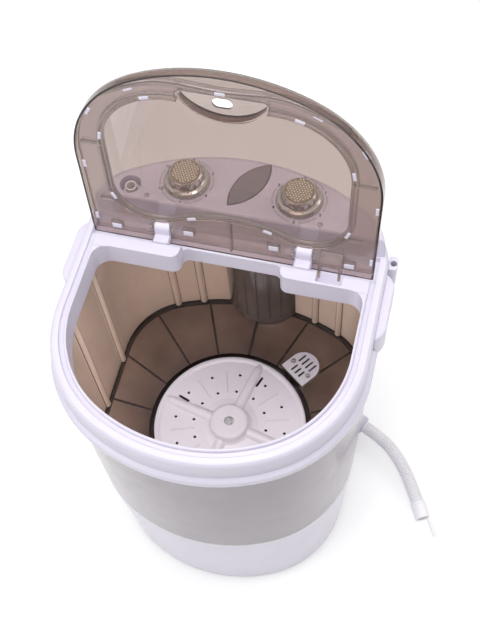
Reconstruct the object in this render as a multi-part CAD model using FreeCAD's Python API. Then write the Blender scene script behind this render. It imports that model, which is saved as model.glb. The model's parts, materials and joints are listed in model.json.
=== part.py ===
import FreeCAD, Part
import math
import os
from FreeCAD import Vector

# Portable washing machine, lid open. Millimetres, +Z up, +Y to the rear, +X to the user's right.
# The origin is on the floor under the middle of the plan outline.

# Plan outline of the rim flange: straight sides, two corner arcs and one end arc at each end.
HALF_WIDTH = 180.0
HALF_DEPTH = 192.0
FRONT_CORNER = 150.0
FRONT_RADIUS = 215.0
REAR_CORNER = 70.0
REAR_RADIUS = 265.0
TUB_REAR_GAP = 12.0
TUB_REAR_Y = HALF_DEPTH - TUB_REAR_GAP
TUB_REAR_CORNER = 100.0
TUB_REAR_RADIUS = 300.0

# A length beyond every piece in plan, for cuts that go right through.
FAR = HALF_WIDTH + HALF_DEPTH

# Heights above the floor.
FOOT_HEIGHT = 8.0
BASE_TOP = 211.0
PAN_FLANGE = 3.0
RIM_Z = 515.0
FRAME_HEIGHT = 47.0
PANEL_HEIGHT = 36.0

# Walls, fits and clearances.
WALL = 3.0
SLIP = 0.3
RUN_FIT = 0.05
BASE_TAPER = 10.0
LIP_WIDTH = 17.0
FOOT_SIDE_INSET = 61.0
FOOT_FRONT_REACH = 70.0
FOOT_REAR_REACH = 30.0
GLAND_X = 70.0
GLAND_RISE = 30.0
BEAD = 6.0
FLUTE = 5.0

# Top frame: collar opening, lid groove, hinge trough. The hinge line sets what lies before and behind it.
HINGE_INSET = 110.0
PIVOT_Y = HALF_DEPTH - HINGE_INSET
MOUTH_INSET = 20.0
GROOVE_INNER = 16.8
GROOVE_OUTER = 11.0
GROOVE_DEPTH = 2.5
LIP_HEIGHT = 1.5
COLLAR_DEPTH = 33.0
MOUTH_REAR_Y = PIVOT_Y - 32.0
BAY_REAR_Y = PIVOT_Y - 12.0
BAY_HALF_WIDTH = 60.0
BAY_CORNER_R = 9.0
BAY_TURN_R = 10.0
DECK = 4.0
TROUGH_DEPTH = 8.5
TROUGH_FRONT_Y = PIVOT_Y - 16.0
PANEL_FRONT_Y = PIVOT_Y + 18.0
PANEL_INSET = 6.0

# Lid and hinge.
LID_OPEN_DEG = 94.45
PIVOT_Z = RIM_Z + 12.0
PIN_R = 3.0
POST_X = 84.0
POST_WIDTH = 18.0
POST_R = 6.5
HINGE_SIDE_GAP = 1.5
LUG_THICK = 4.0
LID_INSET = 14.0
LID_FRONT_Y = LID_INSET - HALF_DEPTH
LID_SKIN = 2.2
LID_EDGE_R = 6.0
LID_EDGE_Z = RIM_Z - 1.0
LID_REAR_Y = PIVOT_Y + 13.5
LID_FRONT_RISE = 12.0
LID_MID_RISE = 25.0
LID_REAR_RISE = 24.0
LID_CROWN_R = 2300.0
FRAME_PLATE_Z = RIM_Z + 5.0
FRAME_PLATE = 2.5
WINDOW_HALF_WIDTH = HALF_WIDTH - 48.0
WINDOW_LOBE_R = 46.0
WINDOW_CORNER_R = 80.0
WINDOW_REAR_S = 41.0
WINDOW_BUMP_S = 61.5
WINDOW_FRONT_GAP = 42.5
RING_WIDTH = 7.0
RING_DROP = 3.5
REAR_PAD = 3.0
GRIP_HALF_WIDTH = 50.0
GRIP_DEPTH = 38.0
GRIP_FRONT_GAP = 30.5
SWITCH_LUG_X = HALF_WIDTH - 63.0
SWITCH_LUG_WIDTH = 26.0
SWITCH_LUG_DROP = 12.0

# Tub pan, pulsator, drain filter and overflow column. The pan falls from its rim to the well.
PAN_DROP = 12.0
WELL_DEPTH = 12.0
FUNNEL_FOOT = BASE_TOP + PAN_FLANGE - PAN_DROP
WELL_FLOOR = FUNNEL_FOOT - WELL_DEPTH
WELL_R = 113.0
PULSATOR_Y = -19.0
PULSATOR_R = 106.0
PULSATOR_Z = FUNNEL_FOOT + 4.0
HUB_HEIGHT = 16.0
SCREW_SEAT = PULSATOR_Z + HUB_HEIGHT - 4.0
SHAFT_TOP = SCREW_SEAT - 6.0
RIB_COUNT = 16
BLADE_COUNT = 4
BLADE_DEG = -12.0
HOLE_COUNT = 12
HOLE_RADII = (51.0, 77.0)
FILTER_DEG = 53.0
FILTER_HALF_WIDTH = 22.0
FILTER_NEAR = 114.0
FILTER_FAR = 158.0
FILTER_Z = FUNNEL_FOOT + 6.0
FILTER_THICK = 3.0
SUMP_DEPTH = 36.0
OVERFLOW_X = 4.0
OVERFLOW_R = 60.0
OVERFLOW_REACH = 30.0

# Drive in the base.
SHAFT_R = 6.0
BEARING_R = 14.0
BOSS_R = 20.0
BOSS_BOTTOM = WELL_FLOOR - 50.0
BELT_Z = 34.0
BELT_HEIGHT = 8.0
BELT_THICK = 5.0
MOTOR_Y = HALF_DEPTH - 92.0
MOTOR_R = 46.0
MOTOR_BOTTOM = 62.5
MOTOR_HEIGHT = 78.0
MOTOR_SHAFT_R = 5.0
ROTOR_R = 24.0
ROTOR_HEIGHT = 40.0
ROTOR_RISE = 19.0
ROTOR_GAP = 0.6
DRIVEN_R = 60.0
DRIVER_R = 15.0

# Controls.
KNOB_X = 67.0
KNOB_Y = HALF_DEPTH - 57.0
KNOB_SKIRT_R = 27.5
KNOB_GRIP_R = 19.5
KNOB_HEIGHT = 18.0
TIMER_SIZE = 44.0
TIMER_SHAFT_R = 3.0
INLET_X = 49.0 - HALF_WIDTH
INLET_Y = HALF_DEPTH - 74.0
INLET_R = 7.0
INLET_BORE_R = 5.2
INLET_WELL_R = 12.5

# Drain hose from the base towards the front, falling to the floor: runs of one length, each with a turn
# from the first heading and a drop.
HOSE_R = 10.0
HOSE_VALLEY_R = 8.7
HOSE_BORE_R = 7.7
HOSE_PITCH = 2.9
HOSE_HEADING = -24.0
HOSE_RUN = 42.0
HOSE_TURNS = (0.0, -20.0, -32.0, -38.0)
HOSE_DROPS = (0.0, 6.5, 6.0, 2.6)
HOSE_EXIT = Vector(HALF_WIDTH - 13.5, HALF_DEPTH - 93.0, 27.0)
HOSE_BOSS = 12.0
STUB_R = 11.0
CUFF_R = 11.2
CUFF_LENGTH = 42.0
PEG_R = 3.2
PEG_LENGTH = 34.0

# Side grips and hose peg socket.
GRIP_Y = HALF_DEPTH - 150.0
GRIP_LENGTH = 88.0
GRIP_REACH = 11.0
GRIP_SEAT_X = HALF_WIDTH + 0.01
SOCKET_Y = HALF_DEPTH - 92.0
SOCKET_SEAT_X = HALF_WIDTH - 0.6

OUT = "parts"


def at(x, y, z):
    return Vector(x, y, z)


def arc(cx, cy, radius, start, end, z):
    """Arc in plan about a centre, angles in radians."""
    points = []
    for angle in (start, (start + end) / 2, end):
        points.append(at(cx + radius * math.cos(angle), cy + radius * math.sin(angle), z))
    return Part.Arc(*points).toShape()


def end_of_outline(end_y, side, corner, radius):
    """Y of the corner centre and of the end-arc centre, and the angle where both arcs meet."""
    depth = radius - math.sqrt((radius - corner) ** 2 - (HALF_WIDTH - corner) ** 2)
    corner_y = end_y - side * depth
    arc_y = end_y - side * radius
    meet = math.atan2(radius - depth, HALF_WIDTH - corner)
    return corner_y, arc_y, meet


def outline(grow, z, rear_y=HALF_DEPTH, rear_corner=REAR_CORNER, rear_radius=REAR_RADIUS):
    """Plan outline moved outwards by grow: the same arc centres, larger radii."""
    front_y, front_c, front_meet = end_of_outline(-HALF_DEPTH, -1, FRONT_CORNER, FRONT_RADIUS)
    back_y, back_c, back_meet = end_of_outline(rear_y, 1, rear_corner, rear_radius)
    side = HALF_WIDTH + grow
    front_x = HALF_WIDTH - FRONT_CORNER
    back_x = HALF_WIDTH - rear_corner
    rc = rear_corner + grow
    fc = FRONT_CORNER + grow
    pi = math.pi
    edges = [
        Part.makeLine(at(side, front_y, z), at(side, back_y, z)),
        arc(back_x, back_y, rc, 0, back_meet, z),
        arc(0, back_c, rear_radius + grow, back_meet, pi - back_meet, z),
        arc(-back_x, back_y, rc, pi - back_meet, pi, z),
        Part.makeLine(at(-side, back_y, z), at(-side, front_y, z)),
        arc(-front_x, front_y, fc, pi, pi + front_meet, z),
        arc(0, front_c, FRONT_RADIUS + grow, pi + front_meet, 2 * pi - front_meet, z),
        arc(front_x, front_y, fc, 2 * pi - front_meet, 2 * pi, z),
    ]
    return Part.Wire(edges)


def tub_outline(grow, z):
    """The tub follows the cabinet at the front and sides and is shorter at the rear."""
    return outline(grow, z, TUB_REAR_Y, TUB_REAR_CORNER, TUB_REAR_RADIUS)


def stack(steps, plan=outline):
    """Solid through plan outlines given as (grow, height) steps."""
    return Part.makeLoft([plan(grow, z) for grow, z in steps], True, True)


def prism(grow, z0, z1, plan=outline):
    """Upright solid on one plan outline."""
    return Part.Face(plan(grow, z0)).extrude(at(0, 0, z1 - z0))


def box(x0, x1, y0, y1, z0, z1):
    return Part.makeBox(x1 - x0, y1 - y0, z1 - z0, at(x0, y0, z0))


def rod(radius, z0, z1, x=0.0, y=0.0):
    return Part.makeCylinder(radius, z1 - z0, at(x, y, z0))


def pipe(outer, inner, z0, z1, x=0.0, y=0.0):
    return rod(outer, z0, z1, x, y).cut(rod(inner, z0 - 1, z1 + 1, x, y))


def cross_rod(radius, x0, x1, y, z):
    return Part.makeCylinder(radius, x1 - x0, at(x0, y, z), at(1, 0, 0))


def revolved(profile, x=0.0, y=0.0):
    """Full turn of a closed (radius, height) profile about an upright axis."""
    points = [at(r, 0, z) for r, z in profile]
    face = Part.Face(Part.makePolygon(points + points[:1]))
    solid = face.revolve(at(0, 0, 0), at(0, 0, 1), 360)
    solid.translate(at(x, y, 0))
    return solid


def extruded(wire, height):
    return Part.Face(wire).extrude(at(0, 0, height))


def slot(x0, y0, x1, y1, radius, z0, z1):
    """Upright solid with round ends between two plan points."""
    length = math.hypot(x1 - x0, y1 - y0)
    bar = box(0, length, -radius, radius, z0, z1)
    bar.rotate(at(0, 0, 0), at(0, 0, 1), math.degrees(math.atan2(y1 - y0, x1 - x0)))
    bar.translate(at(x0, y0, 0))
    return bar.fuse([rod(radius, z0, z1, x0, y0), rod(radius, z0, z1, x1, y1)]).removeSplitter()


def polar(radius, degrees, y=PULSATOR_Y):
    angle = math.radians(degrees)
    return radius * math.cos(angle), y + radius * math.sin(angle)


def upright_edges(solid):
    found = []
    for edge in solid.Edges:
        low = edge.Vertexes[0].Point
        high = edge.Vertexes[-1].Point
        if abs(low.x - high.x) < 1e-6 and abs(low.y - high.y) < 1e-6:
            found.append(edge)
    return found


def upright_edges_at(solid, y):
    return [edge for edge in upright_edges(solid) if abs(edge.Vertexes[0].Y - y) < 1e-6]


def upright_fillet(solid, radius):
    """Rounds the upright edges of a prism."""
    return solid.makeFillet(radius, upright_edges(solid))


def side_edges_between(solid, z0, z1, y_limit):
    """Edges that lie wholly inside a height band and in front of a Y limit."""
    found = []
    for edge in solid.Edges:
        span = edge.BoundBox
        in_band = span.ZMin > z0 and span.ZMax < z1
        if in_band and span.YMax < y_limit and span.XLength + span.YLength > 1:
            found.append(edge)
    return found


def save(name, shape):
    state = "valid" if shape.isValid() else "INVALID"
    print(name, round(shape.Volume / 1000, 1), "cm3", state, len(shape.Solids))
    shape.exportStep(os.path.join(OUT, name + ".step"))


# Cabinet

SHELL_GROW = -(WALL + SLIP)
PAN_TOP = BASE_TOP + PAN_FLANGE
FRAME_BOTTOM = RIM_Z - FRAME_HEIGHT
SHELL_TOP = RIM_Z - TROUGH_DEPTH - DECK


def hose_axis():
    angle = math.radians(HOSE_HEADING)
    return at(math.cos(angle), math.sin(angle), 0)


def base_housing():
    low = SHELL_GROW - BASE_TAPER
    outer = stack([(low, FOOT_HEIGHT), (SHELL_GROW, BASE_TOP)])
    inner = stack([(low - WALL, FOOT_HEIGHT), (SHELL_GROW - WALL, BASE_TOP)])
    lip_z = FOOT_HEIGHT + WALL
    lip = prism(low - 1.5, lip_z, lip_z + WALL)
    lip = lip.cut(prism(low - LIP_WIDTH, lip_z - 1, lip_z + WALL + 1))
    lip = lip.cut([rod(2.0, 0, 30, x, y) for x, y in screw_places()])
    axis = hose_axis()
    boss = Part.makeCylinder(15.0, 22.0 + HOSE_BOSS - WALL, HOSE_EXIT - axis * 22.0, axis)
    hole = Part.makeCylinder(STUB_R + RUN_FIT, 60.0, HOSE_EXIT - axis * 30.0, axis)
    inside = prism(low - 24, FOOT_HEIGHT - 1, BASE_TOP + 1)
    return outer.cut(inner).fuse([lip, boss.cut(inside)]).cut(hole).removeSplitter()


def foot_places():
    """Four points, each before or behind the centre of the outline's corner arc."""
    x = HALF_WIDTH - FOOT_SIDE_INSET
    front = end_of_outline(-HALF_DEPTH, -1, FRONT_CORNER, FRONT_RADIUS)[0] - FOOT_FRONT_REACH
    rear = end_of_outline(HALF_DEPTH, 1, REAR_CORNER, REAR_RADIUS)[0] + FOOT_REAR_REACH
    return [(-x, front), (x, front), (-x, rear), (x, rear)]


def screw_places():
    """Six points along the middle of the lip inside the base's lower edge."""
    grow = SHELL_GROW - BASE_TAPER - LIP_WIDTH / 2
    front_c = -HALF_DEPTH + FRONT_RADIUS
    back_c = HALF_DEPTH - REAR_RADIUS
    places = []
    for side in (-1, 1):
        x = side * 65.0
        places.append((side * (HALF_WIDTH + grow), 0.0))
        places.append((x, front_c - math.sqrt((FRONT_RADIUS + grow) ** 2 - x ** 2)))
        places.append((x, back_c + math.sqrt((REAR_RADIUS + grow) ** 2 - x ** 2)))
    return places


def base_plate():
    low = SHELL_GROW - BASE_TAPER - WALL - SLIP
    plate = prism(low, FOOT_HEIGHT, FOOT_HEIGHT + WALL)
    cuts = [rod(5.0, 0, 20, x, y) for x, y in foot_places()]
    cuts += [rod(2.1, 0, 20, x, y) for x, y in screw_places()]
    for x in (-HALF_WIDTH / 4, HALF_WIDTH / 4):
        cuts.append(slot(x, 72 - HALF_DEPTH, x, 122 - HALF_DEPTH, 1.8, 0, 20))
    return plate.cut(cuts)


def foot(x, y):
    stem_top = FOOT_HEIGHT + 6
    profile = [
        (0, 0), (14, 0), (15, 2), (13, FOOT_HEIGHT),
        (5, FOOT_HEIGHT), (5, stem_top), (0, stem_top)]
    return revolved(profile, x, y)


def base_screw(x, y):
    head = rod(4.0, FOOT_HEIGHT - 2.4, FOOT_HEIGHT, x, y)
    return head.fuse(rod(2.0, FOOT_HEIGHT, FOOT_HEIGHT + 5.8, x, y)).removeSplitter()


def side_face_x(y):
    """Half width of the tub between its inner faces, on the straight side or on the front corner."""
    corner_y = end_of_outline(-HALF_DEPTH, -1, FRONT_CORNER, FRONT_RADIUS)[0]
    reach = FRONT_CORNER + SHELL_GROW - WALL
    ahead = max(corner_y - y, 0.0)
    return HALF_WIDTH - FRONT_CORNER + math.sqrt(reach ** 2 - ahead ** 2)


def flute_places():
    """Plan points on the inner face of the tub wall, where the upright flutes stand."""
    places = []
    for side in (-1, 1):
        for y in (-86.0, -30.0, 42.0):
            places.append((side * side_face_x(y), y))
        rear_c = TUB_REAR_Y - TUB_REAR_RADIUS
        reach = TUB_REAR_RADIUS + SHELL_GROW - WALL
        for degrees in (66.0, 73.5):
            angle = math.radians(degrees)
            places.append((side * reach * math.cos(angle), rear_c + reach * math.sin(angle)))
    return places


def tub_wall():
    outer = prism(SHELL_GROW, PAN_TOP, SHELL_TOP, tub_outline)
    inner = prism(SHELL_GROW - WALL, PAN_TOP - 1, SHELL_TOP + 1, tub_outline)
    flutes = []
    for x, y in flute_places():
        flutes.append(rod(FLUTE, PAN_TOP, SHELL_TOP - 22.0, x, y).common(outer))
    return outer.cut(inner).fuse(flutes).removeSplitter()


def circle_like_outline(radius, z):
    """Round outline about the pulsator axis, split where the tub outline has its corners."""
    angles = []
    for vertex in tub_outline(0, 0).OrderedVertexes:
        angles.append(math.atan2(vertex.Y - PULSATOR_Y, vertex.X))
    edges = []
    for index, start in enumerate(angles):
        end = angles[(index + 1) % len(angles)]
        while end < start:
            end += 2 * math.pi
        edges.append(arc(0, PULSATOR_Y, radius, start, end, z))
    return Part.Wire(edges)


def funnel(grow, top, radius, foot_z):
    return Part.makeLoft([circle_like_outline(radius, foot_z), tub_outline(grow, top)], True, True)


def tongue(half_width, near, far, z0, z1):
    """Plate with one round end, pointing away from the pulsator axis."""
    plate = box(near, far - half_width, -half_width, half_width, z0, z1)
    plate = plate.fuse(rod(half_width, z0, z1, far - half_width, 0)).removeSplitter()
    plate.rotate(at(0, 0, 0), at(0, 0, 1), FILTER_DEG)
    plate.translate(at(0, PULSATOR_Y, 0))
    return plate


DRAIN_X, DRAIN_Y = polar((FILTER_NEAR + FILTER_FAR) / 2 + 3.0, FILTER_DEG)
SUMP_FLOOR = FILTER_Z - SUMP_DEPTH
DRAIN_R = 11.0
DRAIN_BORE = 8.5


def tub_pan():
    inner_grow = SHELL_GROW - WALL - 3.0
    outer_grow = inner_grow + WALL
    flange = prism(SHELL_GROW, BASE_TOP, PAN_TOP, tub_outline)
    dish = funnel(outer_grow, BASE_TOP, WELL_R + WALL, FUNNEL_FOOT - WALL)
    well = rod(WELL_R + WALL, WELL_FLOOR - DECK, FUNNEL_FOOT, 0, PULSATOR_Y)
    boss = rod(BOSS_R, BOSS_BOTTOM, WELL_FLOOR, 0, PULSATOR_Y)
    hollow = funnel(inner_grow, PAN_TOP, WELL_R, FUNNEL_FOOT)
    spokes = []
    for index in range(RIB_COUNT):
        degrees = index * 360.0 / RIB_COUNT
        if abs(degrees - FILTER_DEG) < 12:
            continue
        spoke = box(WELL_R, FAR, -1.3, 1.3, FUNNEL_FOOT, PAN_TOP)
        spoke.rotate(at(0, 0, 0), at(0, 0, 1), degrees)
        spoke.translate(at(0, PULSATOR_Y, 0))
        spokes.append(spoke)
    raised = hollow.copy()
    raised.translate(at(0, 0, 3.0))
    ribs = [spoke.common(hollow).cut(raised) for spoke in spokes]
    gussets = []
    for index in range(6):
        gusset = box(BOSS_R - 1, WELL_R, -1.5, 1.5, WELL_FLOOR - 26, WELL_FLOOR - DECK + 1)
        slope = Part.makeCylinder(200, 10, at(BOSS_R + 160, 5, WELL_FLOOR - DECK - 214), at(0, -1, 0))
        gusset = gusset.cut(slope)
        gusset.rotate(at(0, 0, 0), at(0, 0, 1), index * 60.0)
        gusset.translate(at(0, PULSATOR_Y, 0))
        gussets.append(gusset)
    pan = flange.fuse([dish, well, boss])
    pan = pan.cut([hollow, rod(WELL_R, WELL_FLOOR, FUNNEL_FOOT + 1, 0, PULSATOR_Y)])
    pad = tongue(FILTER_HALF_WIDTH + WALL, FILTER_NEAR - 2, FILTER_FAR + WALL, SUMP_FLOOR - WALL, FILTER_Z)
    outlet = rod(DRAIN_R, SUMP_FLOOR - 14, SUMP_FLOOR, DRAIN_X, DRAIN_Y)
    pan = pan.fuse(ribs + gussets + [pad, outlet])
    sump = tongue(FILTER_HALF_WIDTH - 4, FILTER_NEAR + 4, FILTER_FAR - 4, SUMP_FLOOR, FILTER_Z)
    sump = sump.cut([rod(4.5, SUMP_FLOOR - 1, FILTER_Z + 1, x, y) for x, y in filter_screw_places()])
    seat = tongue(FILTER_HALF_WIDTH + SLIP, FILTER_NEAR - SLIP, FILTER_FAR + SLIP, FILTER_Z, PAN_TOP + 1)
    cuts = [sump, seat, rod(DRAIN_BORE, SUMP_FLOOR - 20, SUMP_FLOOR + 1, DRAIN_X, DRAIN_Y)]
    cuts.append(rod(BEARING_R, BOSS_BOTTOM - 1, WELL_FLOOR + 1, 0, PULSATOR_Y))
    for x, y in filter_screw_places():
        cuts.append(rod(1.8, FILTER_Z - 7, FILTER_Z + 1, x, y))
    return pan.cut(cuts).removeSplitter()


def filter_point(away, across):
    """Plan point given along and across the drain filter's direction."""
    return polar(math.hypot(away, across), FILTER_DEG + math.degrees(math.atan2(across, away)))


def filter_screw_places():
    return [filter_point(FILTER_NEAR + 16.0, across) for across in (-15.5, 15.5)]


def drain_filter():
    plate = tongue(FILTER_HALF_WIDTH, FILTER_NEAR, FILTER_FAR, FILTER_Z, FILTER_Z + FILTER_THICK)
    cuts = []
    for start, end, count in ((6.5, 16.0, 3), (23.0, 35.0, 4)):
        for index in range(count):
            across = 7.2 * (index - (count - 1) / 2)
            x0, y0 = filter_point(FILTER_NEAR + start, across)
            x1, y1 = filter_point(FILTER_NEAR + end, across)
            cuts.append(slot(x0, y0, x1, y1, 1.4, FILTER_Z - 1, FILTER_Z + FILTER_THICK + 1))
    for x, y in filter_screw_places():
        cuts.append(rod(1.9, FILTER_Z - 1, FILTER_Z + 10, x, y))
    return plate.cut(cuts)


def filter_screw(x, y):
    top = FILTER_Z + FILTER_THICK
    head = rod(3.4, top, top + 1.8, x, y)
    head = head.cut(box(x - 3, x + 3, y - 0.5, y + 0.5, top + 1.0, top + 3))
    return head.fuse(rod(1.7, FILTER_Z - 6, top, x, y)).removeSplitter()


def overflow_cover():
    """Bowed column on the back wall of the tub, grooved, with its open foot a little above the pan."""
    back = TUB_REAR_Y + SHELL_GROW - WALL
    centre_y = back - OVERFLOW_REACH + OVERFLOW_R
    low = PAN_TOP
    high = RIM_Z - COLLAR_DEPTH
    wall = rod(OVERFLOW_R, low, high, OVERFLOW_X, centre_y)
    core = rod(OVERFLOW_R - WALL, low - 1, high - WALL, OVERFLOW_X, centre_y)
    grooves = []
    for index in range(-2, 3):
        away, groove_y = polar(OVERFLOW_R, -90 + index * 16.0, centre_y)
        grooves.append(rod(1.5, low + 12, high - 12, OVERFLOW_X + away, groove_y))
    keep = prism(SHELL_GROW - WALL - SLIP, low, high, tub_outline)
    return wall.cut([core] + grooves).common(keep).removeSplitter()


def along_lead(radius):
    """Cylinder along the mains lead, through the rear cover."""
    start = at(GLAND_X, KNOB_Y - 5, BASE_TOP + GLAND_RISE)
    return Part.makeCylinder(radius, FAR - KNOB_Y, start, at(0, 1, 0))


def seam_y():
    """Y where the tub's rear corner has drawn clear of the rear cover's wall."""
    corner_y = end_of_outline(TUB_REAR_Y, 1, TUB_REAR_CORNER, TUB_REAR_RADIUS)[0]
    reach = TUB_REAR_CORNER + SHELL_GROW
    return corner_y + math.sqrt(reach ** 2 - (reach - WALL - SLIP) ** 2)


def rear_cover():
    outer = prism(SHELL_GROW, BASE_TOP, SHELL_TOP)
    inner = prism(SHELL_GROW - WALL, BASE_TOP - 1, SHELL_TOP + 1)
    keep = box(-FAR, FAR, seam_y(), FAR, BASE_TOP - 2, SHELL_TOP + 2)
    cover = outer.cut(inner).common(keep)
    slits = []
    for index in range(7):
        x = 9.0 * index - 96.0
        slits.append(box(x, x + 4, KNOB_Y - 15, FAR, BASE_TOP + 24, BASE_TOP + 60))
    return cover.cut(slits + [along_lead(7.0)])


def cord_gland():
    """Rubber bush in the rear cover where the mains lead passes; its flanges hold the wall between them."""
    high = BASE_TOP + 2 * GLAND_RISE
    wall = prism(SHELL_GROW, BASE_TOP, high)
    wall_out = prism(SHELL_GROW + 3.5, BASE_TOP, high)
    wall_in = prism(SHELL_GROW - WALL, BASE_TOP, high)
    rim_in = prism(SHELL_GROW - WALL - 2.5, BASE_TOP, high)
    flange = along_lead(10.5)
    outside = flange.common(wall_out).cut(wall)
    middle = along_lead(7.0).common(wall_out).cut(rim_in)
    inside = flange.common(wall_in).cut(rim_in)
    return middle.fuse([outside, inside]).cut(along_lead(3.6)).removeSplitter()


def mouth(grow, z0, z1):
    """Prism of the collar opening: the rim outline in front, a straight edge with a bay at the rear."""
    rear = MOUTH_REAR_Y + grow
    front = prism(-MOUTH_INSET + grow, z0, z1).common(box(-FAR, FAR, -FAR, rear, z0, z1))
    front = front.makeFillet(18.0 + grow, upright_edges_at(front, rear))
    half = BAY_HALF_WIDTH + grow
    bay = box(-half, half, 0, BAY_REAR_Y + grow, z0, z1)
    bay = bay.makeFillet(BAY_CORNER_R + grow, upright_edges_at(bay, BAY_REAR_Y + grow))
    whole = front.fuse(bay).removeSplitter()
    turns = [edge for edge in upright_edges_at(whole, rear) if abs(edge.CenterOfMass.x) < half + 1]
    return whole.makeFillet(BAY_TURN_R - grow, turns)


def hinge_post(x):
    foot_z = RIM_Z - TROUGH_DEPTH - 1
    half = POST_WIDTH / 2
    column = box(x - half, x + half, PIVOT_Y - POST_R, PIVOT_Y + POST_R, foot_z, PIVOT_Z)
    step = box(x - half, x + half, TROUGH_FRONT_Y - 1, PIVOT_Y - POST_R + 1, foot_z, RIM_Z + 4)
    return column.fuse([cross_rod(POST_R, x - half, x + half, PIVOT_Y, PIVOT_Z), step])


def top_frame():
    top = RIM_Z
    shoulder = FRAME_BOTTOM + 11.0
    shape = stack([
        (BEAD - 1.5, FRAME_BOTTOM), (BEAD, FRAME_BOTTOM + 2), (BEAD, shoulder - 2), (BEAD - 1.5, shoulder),
        (0, shoulder + 3), (0, top - 7), (-1.2, top - 3.5), (-3.5, top - 1), (-6.5, top)])
    bead_in = BEAD - WALL - 1.5
    bead_hollow = stack([(bead_in, FRAME_BOTTOM), (bead_in, shoulder - 1), (-WALL, shoulder + 2)])
    wall_hollow = stack([(-WALL, FRAME_BOTTOM), (-WALL, top - 8), (-6.5, top - DECK)])
    shape = shape.cut([bead_hollow, wall_hollow])
    collar = mouth(WALL, top - COLLAR_DEPTH, top - 1)
    floor_z = top - TROUGH_DEPTH
    half = HALF_WIDTH - 8
    trough_floor = box(-half, half, MOUTH_REAR_Y + 1, PANEL_FRONT_Y + 4, floor_z - DECK, top - DECK + 1)
    pocket_wall = box(
        SWITCH_LUG_X - SWITCH_LUG_WIDTH / 2 - 5, SWITCH_LUG_X + SWITCH_LUG_WIDTH / 2 + 5,
        MOUTH_REAR_Y + 1, PANEL_FRONT_Y + 4, top - SWITCH_LUG_DROP - 8, top - DECK)
    lip = stack([(-GROOVE_INNER, top - 1), (-GROOVE_INNER, top), (-GROOVE_INNER - 1.2, top + LIP_HEIGHT)])
    lip = lip.common(box(-FAR, FAR, -FAR, MOUTH_REAR_Y - 2, top - 2, top + 10))
    shape = shape.fuse([collar, trough_floor, pocket_wall, lip])
    groove = prism(-GROOVE_OUTER, top - GROOVE_DEPTH, top + 3)
    groove = groove.cut(prism(-GROOVE_INNER, top - GROOVE_DEPTH - 1, top + 4))
    groove = groove.common(box(-FAR, FAR, -FAR, TROUGH_FRONT_Y + 4, top - 10, top + 10))
    trough_half = HALF_WIDTH - GROOVE_OUTER
    trough = box(-trough_half, trough_half, TROUGH_FRONT_Y, PANEL_FRONT_Y - 2, floor_z, top + 5)
    pocket = box(
        SWITCH_LUG_X - SWITCH_LUG_WIDTH / 2 - 2, SWITCH_LUG_X + SWITCH_LUG_WIDTH / 2 + 2,
        MOUTH_REAR_Y + 3.5, PANEL_FRONT_Y - 2, top - SWITCH_LUG_DROP - 4, top + 5)
    cuts = [mouth(0, FRAME_BOTTOM - 5, top + 5), groove, trough, pocket]
    cuts.append(rod(INLET_R + SLIP, top - 30, top + 5, INLET_X, INLET_Y))
    cuts.append(rod(9.0, top - 30, top + 5, -30, KNOB_Y + 15))
    grip_half = GRIP_LENGTH / 2
    for side in (-1, 1):
        x0, x1 = sorted((side * GRIP_SEAT_X, side * FAR))
        cuts.append(box(x0, x1, GRIP_Y - grip_half, GRIP_Y + grip_half, FRAME_BOTTOM - 1, top - 8))
    cuts.append(box(SOCKET_SEAT_X, FAR, SOCKET_Y - 9, SOCKET_Y + 9, FRAME_BOTTOM - 1, top - 8))
    shape = shape.cut(cuts)
    posts = [hinge_post(-POST_X), hinge_post(POST_X)]
    bores = [cross_rod(PIN_R + RUN_FIT, x - 20, x + 20, PIVOT_Y, PIVOT_Z) for x in (-POST_X, POST_X)]
    return shape.fuse(posts).cut(bores).removeSplitter()


def leaf(grow, z0, z1):
    """Almond shape of two arcs between two tips."""
    tip_a = at(-12.5 - grow, PANEL_FRONT_Y + 11.0 - grow, z0)
    tip_b = at(24.5 + grow, HALF_DEPTH - 14.0 + grow, z0)
    middle = (tip_a + tip_b) * 0.5
    across = (tip_b - tip_a).cross(at(0, 0, 1))
    across.normalize()
    bulge = 16.0 + grow
    wire = Part.Wire([
        Part.Arc(tip_a, middle + across * bulge, tip_b).toShape(),
        Part.Arc(tip_b, middle - across * bulge, tip_a).toShape()])
    return extruded(wire, z1 - z0)


PANEL_TOP = RIM_Z + PANEL_HEIGHT


def panel_solid(inset, top, front_y):
    steps = [(0, RIM_Z), (0, top - 13), (-1.6, top - 7), (-4.6, top - 2.6), (-9.5, top)]
    solid = stack([(-PANEL_INSET - inset + grow, z) for grow, z in steps])
    return solid.common(box(-FAR, FAR, front_y, FAR, RIM_Z, top + 1))


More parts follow.
